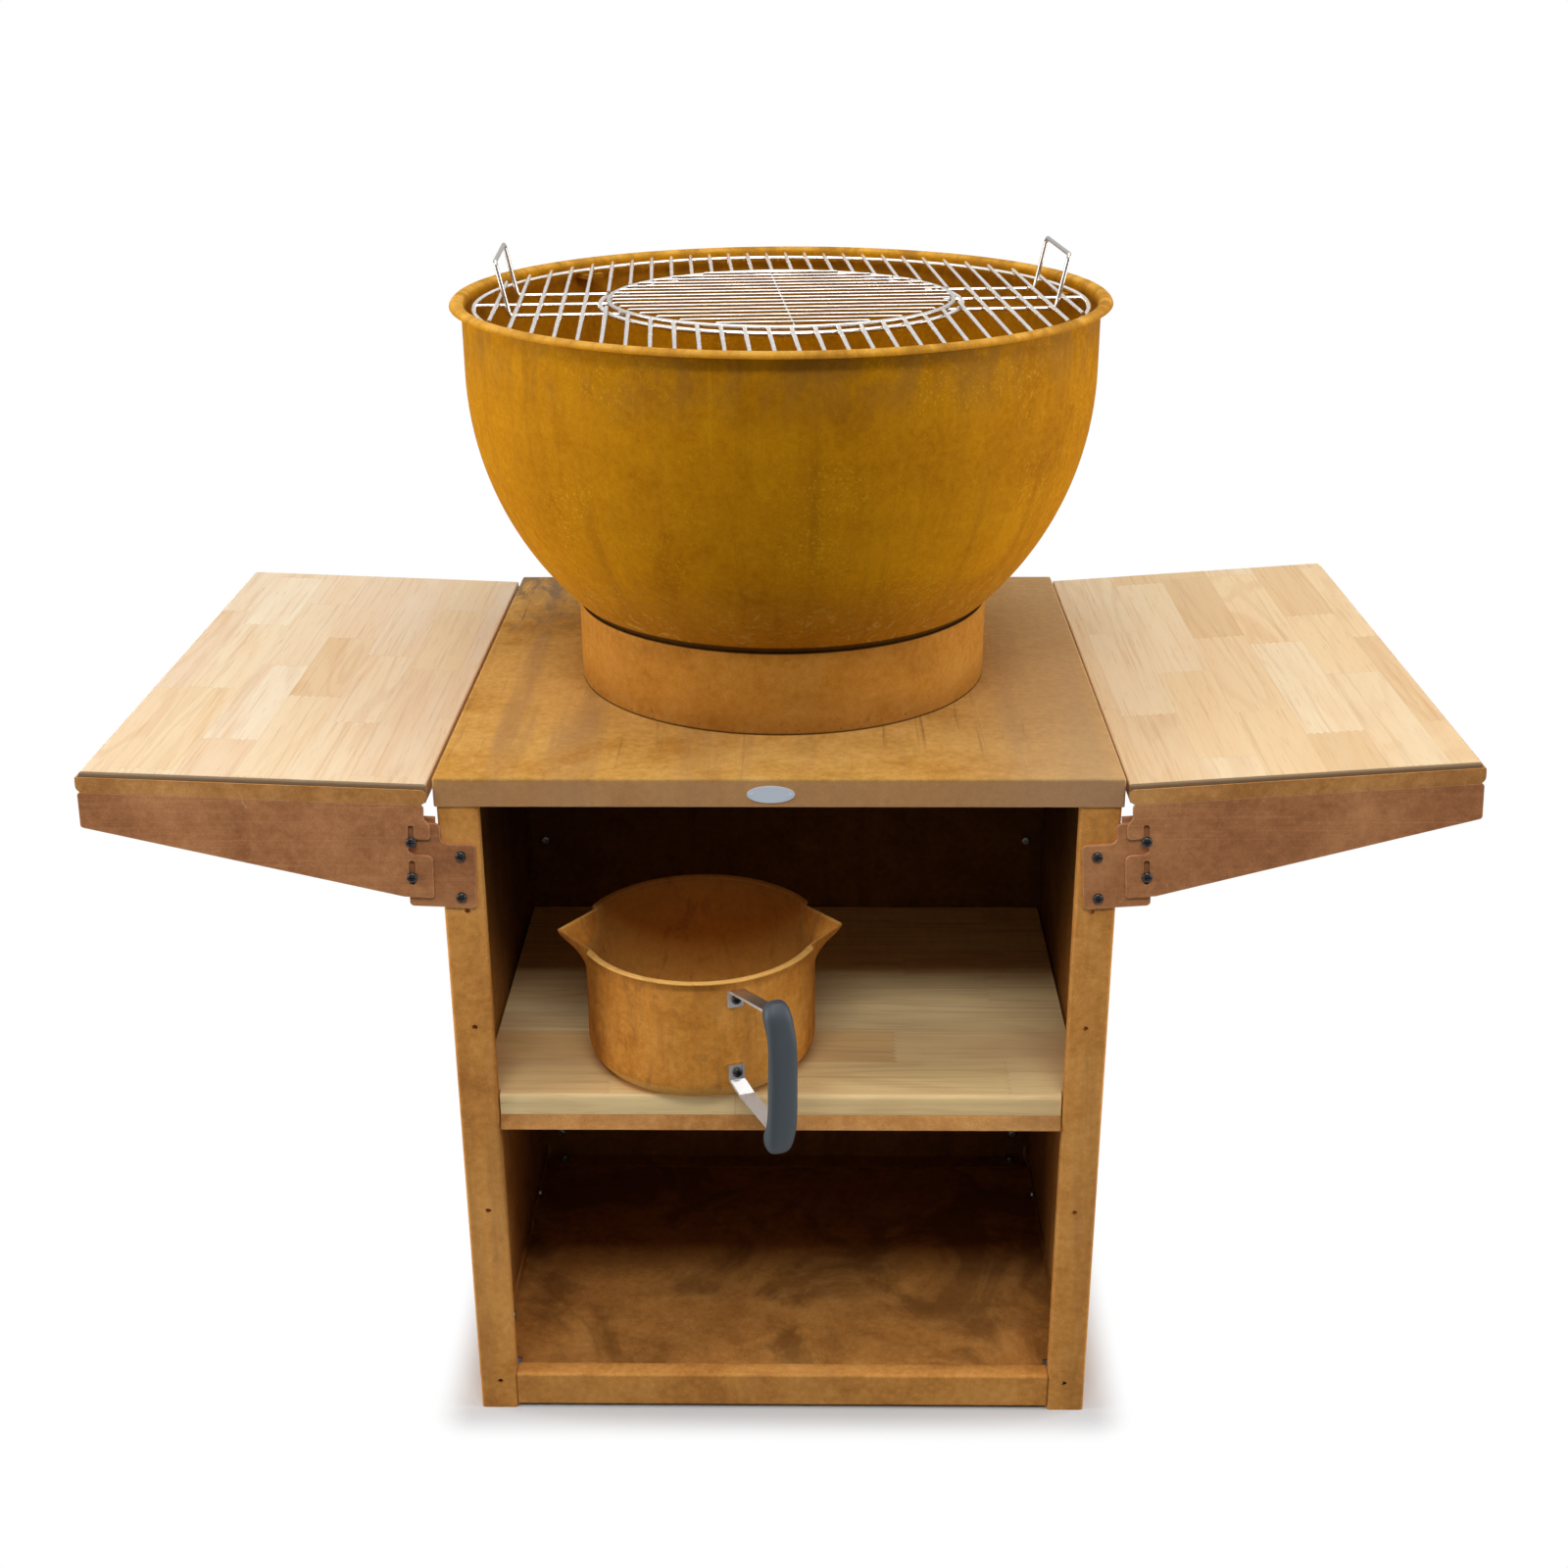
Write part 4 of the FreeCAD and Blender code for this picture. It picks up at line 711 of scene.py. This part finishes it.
tree, given = new_tree(
    "main_grate", ("Outer Radius", "Float"), ("Inner Radius", "Float"), ("Ring Height", "Float"),
    ("Bar Height", "Float"), ("Bar Reach", "Float"), ("Pitch", "Float"), ("Last Bar", "Int"),
    ("Ring Wire", "Float"), ("Bar Wire", "Float"), ("Weld", "Float"), ("Bend", "Float"),
    ("Turn", "Float"), ("Seat Radius", "Float"), ("Seat Reach", "Float"), ("Seat Apart", "Float"),
)
bar_count = calc(tree, "ADD", times(tree, given["Last Bar"], 2), 1)
first_bar = times(tree, given["Last Bar"], given["Pitch"], -1)
spots = row(tree, bar_count, point(tree, first_bar), point(tree, given["Pitch"]))
offset = along(tree, node(tree, "GeometryNodeInputPosition").outputs[0], 0)
far = calc(tree, "ADD", chord(tree, given["Outer Radius"], offset), given["Ring Wire"])
near = calc(tree, "SUBTRACT", chord(tree, given["Inner Radius"], offset), given["Bar Reach"])
near = calc(tree, "MAXIMUM", near, 0.0)
spots = node(tree, "GeometryNodeSetPosition", {
    "Geometry": spots, "Position": point(tree, offset, near, given["Bar Height"]),
}).outputs[0]
unit_bar = row(tree, 2, (0, 0, 0), (0, 1, 0))
bar_length = calc(tree, "SUBTRACT", far, near)
half_bars = node(tree, "GeometryNodeInstanceOnPoints", {
    "Points": spots, "Instance": unit_bar, "Scale": point(tree, 1.0, bar_length, 1.0),
}).outputs[0]
half_bars = node(tree, "GeometryNodeRealizeInstances", {0: half_bars}).outputs[0]
bars = joined(tree, half_bars, mirrored(tree, half_bars, (1, -1, 1)))
bars = node(tree, "GeometryNodeMergeByDistance", {"Geometry": bars, "Distance": 1e-5}).outputs[0]
sunk = calc(tree, "SUBTRACT", given["Ring Wire"], given["Weld"])
cross_in = calc(tree, "ADD", given["Inner Radius"], sunk)
cross_out = calc(tree, "SUBTRACT", given["Outer Radius"], sunk)
cross = row(tree, 2, point(tree, cross_in, z=given["Ring Height"]),
            point(tree, calc(tree, "SUBTRACT", cross_out, cross_in)))
straight_wires = as_curve(tree, joined(tree, bars, cross, mirrored(tree, cross, (-1, 1, 1))))
seat_y = along(tree, node(tree, "GeometryNodeInputPosition").outputs[0], 1)
seat_out = chord(tree, calc(tree, "SUBTRACT", given["Inner Radius"], sunk), seat_y)
seat_in = calc(tree, "SUBTRACT", chord(tree, given["Seat Radius"], seat_y), given["Seat Reach"])
first_seat = point(tree, y=times(tree, given["Seat Apart"], -1))
seats = row(tree, 3, first_seat, point(tree, y=given["Seat Apart"]))
seats = node(tree, "GeometryNodeSetPosition", {
    "Geometry": seats, "Position": point(tree, seat_in, seat_y, given["Ring Height"]),
}).outputs[0]
seats = node(tree, "GeometryNodeInstanceOnPoints", {
    "Points": seats, "Instance": row(tree, 2, (0, 0, 0), (1, 0, 0)),
    "Scale": point(tree, calc(tree, "SUBTRACT", seat_out, seat_in), 1.0, 1.0),
}).outputs[0]
seats = node(tree, "GeometryNodeRealizeInstances", {0: seats}).outputs[0]
seats = as_curve(tree, joined(tree, seats, mirrored(tree, seats, (-1, 1, 1))))
handles = as_curve(tree, joined(tree, given["Geometry"], mirrored(tree, given["Geometry"], (-1, 1, 1))))
handles = node(tree, "GeometryNodeFilletCurve", {
    "Curve": handles, "Radius": given["Bend"], "Count": BEND_STEPS,
}, mode="POLY").outputs[0]
wires = drawn(tree, joined(tree, straight_wires, seats, handles), given["Bar Wire"], WIRE_SIDES)
rings = joined(
    tree, lifted_ring(tree, given["Outer Radius"], given["Ring Height"], given["Ring Wire"]),
    lifted_ring(tree, given["Inner Radius"], given["Ring Height"], given["Ring Wire"]),
)
turned = node(tree, "GeometryNodeTransform", {
    "Geometry": joined(tree, wires, rings), "Rotation": point(tree, z=given["Turn"]),
}).outputs[0]
close_tree(tree, turned, given["Material"])

root = math.sqrt(GRATE_INNER ** 2 - HANDLE_Y ** 2) + RING_WIRE - WELD
leg = [(root, GRATE_Z), (HANDLE_FOOT, GRATE_Z), (HANDLE_FOOT + HANDLE_LEAN, GRATE_Z + HANDLE_RISE)]
handle_line = [(x, HANDLE_Y, z) for x, z in leg] + [(x, -HANDLE_Y, z) for x, z in leg[::-1]]
main_grate = made_by(tree, "main_grate_wires", polyline("handle_line", handle_line), {
    "Outer Radius": GRATE_R, "Inner Radius": GRATE_INNER, "Ring Height": GRATE_Z,
    "Bar Height": GRATE_BAR_Z, "Bar Reach": BAR_IN, "Pitch": GRATE_PITCH, "Last Bar": GRATE_LAST,
    "Ring Wire": RING_WIRE, "Bar Wire": BAR_WIRE, "Weld": WELD, "Bend": HANDLE_BEND,
    "Turn": GRATE_TURN, "Seat Radius": CENTRE_R, "Seat Reach": SEAT_REACH, "Seat Apart": HANDLE_Y,
    "Material": chrome,
})
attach(main_grate, "main_grate")
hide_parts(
    "grate_outer_ring", "grate_inner_ring", "grate_bars", "grate_cross_wires",
    "grate_left_handle", "grate_right_handle", "grate_seats",
)

# Centre grate: a ring with thinner bars from left to right whose bent ends are welded inside
# it, and one bar under them. Its chromed wire is greyer than the main grate's. It lies loose
# on the main grate's seats.
CENTRE_Z = 1.0383
FINE_Z = 1.0403
CROSS_Z = 1.0389
FINE_WIRE = 0.00095
HOOK_R = 0.15755
HOOK_DOWN = 0.0035
HOOK_BEND = 0.002
HOOK_STEPS = 5
CENTRE_PITCH = 0.019
CENTRE_BARS = 16
CENTRE_TURN = math.radians(5)

worn_chrome, tree, shader = new_material("worn_chrome_wire")
here = object_space(tree)
haze = noise(tree, here, 45, 5, 0.65)
soot = noise(tree, here, 700, 3, 0.6)
worn = blend(tree, haze, srgb(196, 192, 186), srgb(218, 214, 208))
worn = blend(tree, between(tree, soot, 0.6, 0.75, 0.0, 0.25), worn, srgb(128, 120, 110))
tree.links.new(worn, shader.inputs["Base Color"])
tree.links.new(between(tree, haze, 0.3, 0.7, 0.36, 0.24), shader.inputs["Roughness"])
shader.inputs["Metallic"].default_value = 1.0

tree, given = new_tree(
    "centre_grate", ("Radius", "Float"), ("Height", "Float"), ("Bar Height", "Float"),
    ("Hook Radius", "Float"), ("Hook Drop", "Float"), ("Hook Bend", "Float"), ("Pitch", "Float"),
    ("Bars", "Int"), ("Ring Wire", "Float"), ("Bar Wire", "Float"), ("Cross Height", "Float"),
    ("Weld", "Float"), ("Turn", "Float"),
)
first_bar = times(tree, calc(tree, "SUBTRACT", given["Bars"], 1), given["Pitch"], -0.5)
first_spot = point(tree, y=first_bar, z=given["Bar Height"])
spots = row(tree, given["Bars"], first_spot, point(tree, y=given["Pitch"]))
offset = along(tree, node(tree, "GeometryNodeInputPosition").outputs[0], 1)
half_long = chord(tree, given["Hook Radius"], offset)
bars = node(tree, "GeometryNodeInstanceOnPoints", {
    "Points": spots, "Instance": given["Geometry"],
    "Scale": point(tree, half_long, 1.0, given["Hook Drop"]),
}).outputs[0]
bars = as_curve(tree, node(tree, "GeometryNodeRealizeInstances", {0: bars}).outputs[0])
bars = node(tree, "GeometryNodeFilletCurve", {
    "Curve": bars, "Radius": given["Hook Bend"], "Count": HOOK_STEPS,
}, mode="POLY").outputs[0]
ring_inside = calc(tree, "SUBTRACT", given["Radius"], given["Ring Wire"])
cross_end = calc(tree, "ADD", ring_inside, given["Weld"])
cross = row(tree, 2, point(tree, y=times(tree, cross_end, -1), z=given["Cross Height"]),
            point(tree, y=times(tree, cross_end, 2)))
wires = joined(
    tree, drawn(tree, joined(tree, bars, as_curve(tree, cross)), given["Bar Wire"], WIRE_SIDES),
    lifted_ring(tree, given["Radius"], given["Height"], given["Ring Wire"]),
)
turned = node(tree, "GeometryNodeTransform", {
    "Geometry": wires, "Rotation": point(tree, z=given["Turn"]),
}).outputs[0]
close_tree(tree, turned, given["Material"])
hooked = polyline("hooked_bar", [(-1, 0, -1), (-1, 0, 0), (1, 0, 0), (1, 0, -1)])
centre_grate = made_by(tree, "centre_grate_wires", hooked, {
    "Radius": CENTRE_R, "Height": CENTRE_Z, "Bar Height": FINE_Z, "Hook Radius": HOOK_R,
    "Hook Drop": HOOK_DOWN, "Hook Bend": HOOK_BEND, "Pitch": CENTRE_PITCH, "Bars": CENTRE_BARS,
    "Ring Wire": BAR_WIRE, "Bar Wire": FINE_WIRE, "Cross Height": CROSS_Z, "Weld": WELD,
    "Turn": CENTRE_TURN, "Material": worn_chrome,
})
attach(centre_grate, "centre_grate")
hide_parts("centre_ring", "centre_bars", "centre_cross_bar")

# Pot: a spun steel shell with a flat flared rim and two pressed pouring spouts, on the shelf.
# Its rust is brown-orange, lighter on the rim, and its inner wall is painted lighter and yellower against
# the deeper tone that light bouncing inside gives; two stainless straps carry a moulded slate grip.
POT_AT = (-0.0762, -0.204, 0.3573)
POT_R = 0.1085
POT_H = 0.130
POT_WALL = 0.002
POT_FOOT = 0.024
POT_BEND = 0.003
POT_FLARE = 0.007
POT_FLAT = 0.04
POT_STEPS = 240
SPOUT_REACH = 0.134
SPOUT_HALF = 0.045
SPOUT_ANGLE = math.asin(SPOUT_HALF / POT_R)
SPOUT_DEPTH = 0.034
SPOUT_ROW = 0.006
SPOUT_TURN = math.radians(3)
RIM_TONE_Z = (POT_AT[2] + POT_H - 0.0025, POT_AT[2] + POT_H - 0.0012)


def length_of(tree, offset):
    return node(tree, "ShaderNodeVectorMath", {0: offset}, operation="LENGTH").outputs["Value"]


def pot_marks_and_inner_lightening(tree, here, color):
    rim = between(tree, along(tree, here, 2), *RIM_TONE_Z)
    color = blend(tree, times(tree, rim, 0.85), color, srgb(240, 186, 104))
    # Painted light: the inner wall is lighter and yellower, offsetting the deeper tone from light bouncing
    # inside the pot.
    out = vector(tree, "MULTIPLY", vector(tree, "SUBTRACT", here, POT_AT), (1, 1, 0))
    inside = between(tree, length_of(tree, out), POT_R - POT_WALL / 4, POT_R - POT_WALL * 3 / 4)
    color = blend(tree, times(tree, inside, 0.7), color, srgb(214, 164, 84))
    stain = noise(tree, stretched(tree, here, (26, 26, 12)), 1.0, 6, 0.66, 1.2)
    return blend(tree, between(tree, stain, 0.52, 0.66, 0.0, 0.4), color, srgb(152, 98, 58))


pot_rust = rust(
    "pot_rust", srgb(196, 124, 48), srgb(219, 147, 62), srgb(232, 162, 77), 10.0,
    around(POT_AT[0], POT_AT[1], 7, 9), srgb(160, 100, 48), 0.4, srgb(226, 168, 92), 0.5, [pot_marks_and_inner_lightening],
)
inner = POT_R - POT_WALL
top_edge = POT_H - POT_WALL / 2
bend_z = POT_H - POT_WALL - POT_BEND
wall_rows = [0.05, 0.075] + [POT_H - SPOUT_DEPTH + SPOUT_ROW * i for i in range(5)]
pot_profile = [(0, 0, 0), (POT_FLAT, 0, 0)]
pot_profile += arc(POT_FOOT, POT_R - POT_FOOT, POT_FOOT, -90, 0, 12)
pot_profile += [(POT_R, 0, height) for height in wall_rows]
pot_profile += arc(POT_BEND, POT_R + POT_BEND, bend_z, 180, 90, 6)
pot_profile += arc(POT_WALL / 2, POT_R + POT_FLARE - POT_WALL / 2, top_edge, -90, 90, 8)
pot_profile += arc(POT_BEND + POT_WALL, POT_R + POT_BEND, bend_z, 90, 180, 8)
pot_profile += [(inner, 0, height) for height in reversed(wall_rows)]
pot_profile += arc(POT_FOOT - POT_WALL, POT_R - POT_FOOT, POT_FOOT, 0, -90, 12)
pot_profile += [(POT_FLAT, 0, POT_WALL), (0, 0, POT_WALL)]
pot = made_by(spun, "pot_body", polyline("pot_profile", pot_profile), {
    "Steps": POT_STEPS, "Centre": POT_AT, "Wall Radius": POT_R, "Rim Height": POT_H,
    "Spout Reach": SPOUT_REACH, "Spout Angle": SPOUT_ANGLE, "Spout Depth": SPOUT_DEPTH,
    "Turn": SPOUT_TURN, "Material": pot_rust,
})
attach(pot, "pot")
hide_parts("pot_shell")

strap_steel, tree, shader = new_material("strap_steel")
here = object_space(tree)
lines = noise(tree, stretched(tree, here, (900, 900, 60)), 1.0, 3, 0.6)
tree.links.new(blend(tree, lines, srgb(188, 186, 184), srgb(222, 221, 220)), shader.inputs["Base Color"])
tree.links.new(between(tree, lines, 0.3, 0.7, 0.3, 0.46), shader.inputs["Roughness"])
shader.inputs["Metallic"].default_value = 1.0
paint(strap_steel, "pot_straps")
grip_plastic, tree, shader = new_material("grip_plastic")
here = object_space(tree)
moulded = noise(tree, here, 1400, 3, 0.6)
tree.links.new(blend(tree, moulded, srgb(60, 68, 74), srgb(76, 84, 90)), shader.inputs["Base Color"])
tree.links.new(between(tree, moulded, 0.3, 0.7, 0.45, 0.58), shader.inputs["Roughness"])
shader.inputs["Specular IOR Level"].default_value = 0.35
bumped(tree, shader, moulded, 0.1, 0.0003)
paint(grip_plastic, "pot_grip")

# Studio: a pale floor, greyer in a zone around the object's footprint where it takes the object's shadow
# and reads as painted shade around the base, white beyond it, and white surroundings.
# Bright metal sees the far floor and the horizon a little greyer, most of all in front.
# A broad softbox stands high in front, two weaker ones overhead and one at each side.
FLOOR_SIDE = 8.0
FLOOR_HALF = 0.303
SHADOW_REACH = 0.045
PAPER_WHITE = (1.0, 1.0, 1.0, 1.0)
PAPER_SHADED = (0.66, 0.675, 0.69, 1.0)
FLOOR_GREY = (0.3, 0.3, 0.3, 1.0)
ROOM_GREY = (0.65, 0.65, 0.65, 1.0)
FRONT_GREY = (0.4, 0.4, 0.4, 1.0)
FILL_GREY = (0.10, 0.10, 0.10, 1.0)
FAR_FLOOR = (0.9, 1.8)
FRONT_FLOOR = (-0.7, -1.6)
HORIZON = (0.5, 0.05)
FRONT_TURN = (-0.25, -0.75)
FRONT_RISE = (0.7, 0.35)
corners = [(-1, -1), (1, -1), (1, 1), (-1, 1)]
floor_mesh = bpy.data.meshes.new("floor")
floor_mesh.from_pydata([(FLOOR_SIDE * x, FLOOR_SIDE * y, 0) for x, y in corners], [], [(0, 1, 2, 3)])
floor = bpy.data.objects.new("floor", floor_mesh)
bpy.context.scene.collection.objects.link(floor)
floor_white, tree, shader = new_material("floor_white")
rays = node(tree, "ShaderNodeLightPath").outputs
seen = calc(tree, "MAXIMUM", rays["Is Camera Ray"], rays["Is Glossy Ray"])
seen = calc(tree, "MAXIMUM", seen, rays["Is Transmission Ray"])
here = object_space(tree)
beyond = vector(tree, "SUBTRACT", vector(tree, "ABSOLUTE", here), (FLOOR_HALF, FLOOR_HALF, 0.0))
beyond = vector(tree, "MAXIMUM", beyond, (0, 0, 0))
clear = times(tree, between(tree, length_of(tree, beyond), 0.0, SHADOW_REACH), seen)
tree.links.new(blend(tree, seen, FLOOR_GREY, PAPER_SHADED), shader.inputs["Base Color"])
shader.inputs["Roughness"].default_value = 1.0
shader.inputs["Specular IOR Level"].default_value = 0.0
dim = times(tree, between(tree, length_of(tree, here), *FAR_FLOOR), rays["Is Glossy Ray"])
paper = blend(tree, dim, PAPER_WHITE, ROOM_GREY)
dim = times(tree, between(tree, along(tree, here, 1), *FRONT_FLOOR), rays["Is Glossy Ray"])
paper = blend(tree, dim, paper, FRONT_GREY)
white = node(tree, "ShaderNodeEmission", {"Color": paper, "Strength": 1.0}).outputs[0]
mixed = node(tree, "ShaderNodeMixShader", {0: clear, 1: shader.outputs[0], 2: white}).outputs[0]
tree.links.new(mixed, tree.nodes["Material Output"].inputs["Surface"])
floor.data.materials.append(floor_white)

world = bpy.data.worlds.new("studio")
bpy.context.scene.world = world
world.use_nodes = True
tree = world.node_tree
rays = node(tree, "ShaderNodeLightPath").outputs
seen = calc(tree, "MAXIMUM", rays["Is Camera Ray"], rays["Is Transmission Ray"])
towards = node(tree, "ShaderNodeTexCoord").outputs["Generated"]
rise = along(tree, towards, 2)
room = blend(tree, between(tree, rise, *HORIZON), PAPER_WHITE, ROOM_GREY)
front = between(tree, along(tree, towards, 1), *FRONT_TURN)
front = times(tree, front, between(tree, rise, *FRONT_RISE))
room = blend(tree, front, room, FRONT_GREY)
tone = blend(tree, rays["Is Glossy Ray"], FILL_GREY, room)
tone = blend(tree, seen, tone, PAPER_WHITE)
tree.links.new(tone, tree.nodes["Background"].inputs["Color"])


def softbox(name, at, target, width, height, power):
    lamp = bpy.data.lights.new(name, "AREA")
    lamp.shape = "RECTANGLE"
    lamp.size = width
    lamp.size_y = height
    lamp.energy = power
    made = bpy.data.objects.new(name, lamp)
    made.location = at
    made.rotation_euler = (Vector(target) - Vector(at)).to_track_quat("-Z", "Y").to_euler()
    bpy.context.scene.collection.objects.link(made)


softbox("front_box", at=(0, -2.52, 3.62), target=(0, -0.2, 0.36), width=2.6, height=0.63, power=62)
softbox("front_overhead_box", at=(0, -0.4, 3.1), target=(0, -0.3, 0.6), width=2.4, height=0.8, power=23)
softbox("rear_overhead_box", at=(0, 0.6, 3.1), target=(0, 0.2, 0.6), width=2.4, height=0.8, power=18)
softbox("left_box", at=(-2.1, -0.35, 1.0), target=(0, 0, 0.8), width=1.4, height=1.4, power=40)
softbox("right_box", at=(2.1, -0.18, 1.0), target=(0, 0, 0.8), width=1.4, height=1.4, power=36)

# Camera: the photograph's standpoint, a little above the bowl and straight in front.
# Its place, turn and focal length were worked out from the cabinet's corners and the bowl's rim.
CAMERA_AT = (0.02815, -1.9009, 1.3411)
PITCH = math.radians(22.66)
YAW = math.radians(-0.83)
ROLL = math.radians(-0.27)
SENSOR = 36.0
FOCAL_LENGTH = 46.155
level = math.cos(PITCH)
forward = Vector((math.sin(YAW) * level, math.cos(YAW) * level, -math.sin(PITCH)))
right = Vector((math.cos(YAW), -math.sin(YAW), 0))
above = right.cross(forward)
across = right * math.cos(ROLL) + above * math.sin(ROLL)
upward = above * math.cos(ROLL) - right * math.sin(ROLL)
lens = bpy.data.cameras.new("camera")
lens.sensor_width = SENSOR
lens.lens = FOCAL_LENGTH
camera = bpy.data.objects.new("camera", lens)
turn = Matrix((across, upward, -forward)).transposed().to_4x4()
camera.matrix_world = Matrix.Translation(CAMERA_AT) @ turn
bpy.context.scene.collection.objects.link(camera)
bpy.context.scene.camera = camera
bpy.context.scene.view_settings.view_transform = "Standard"
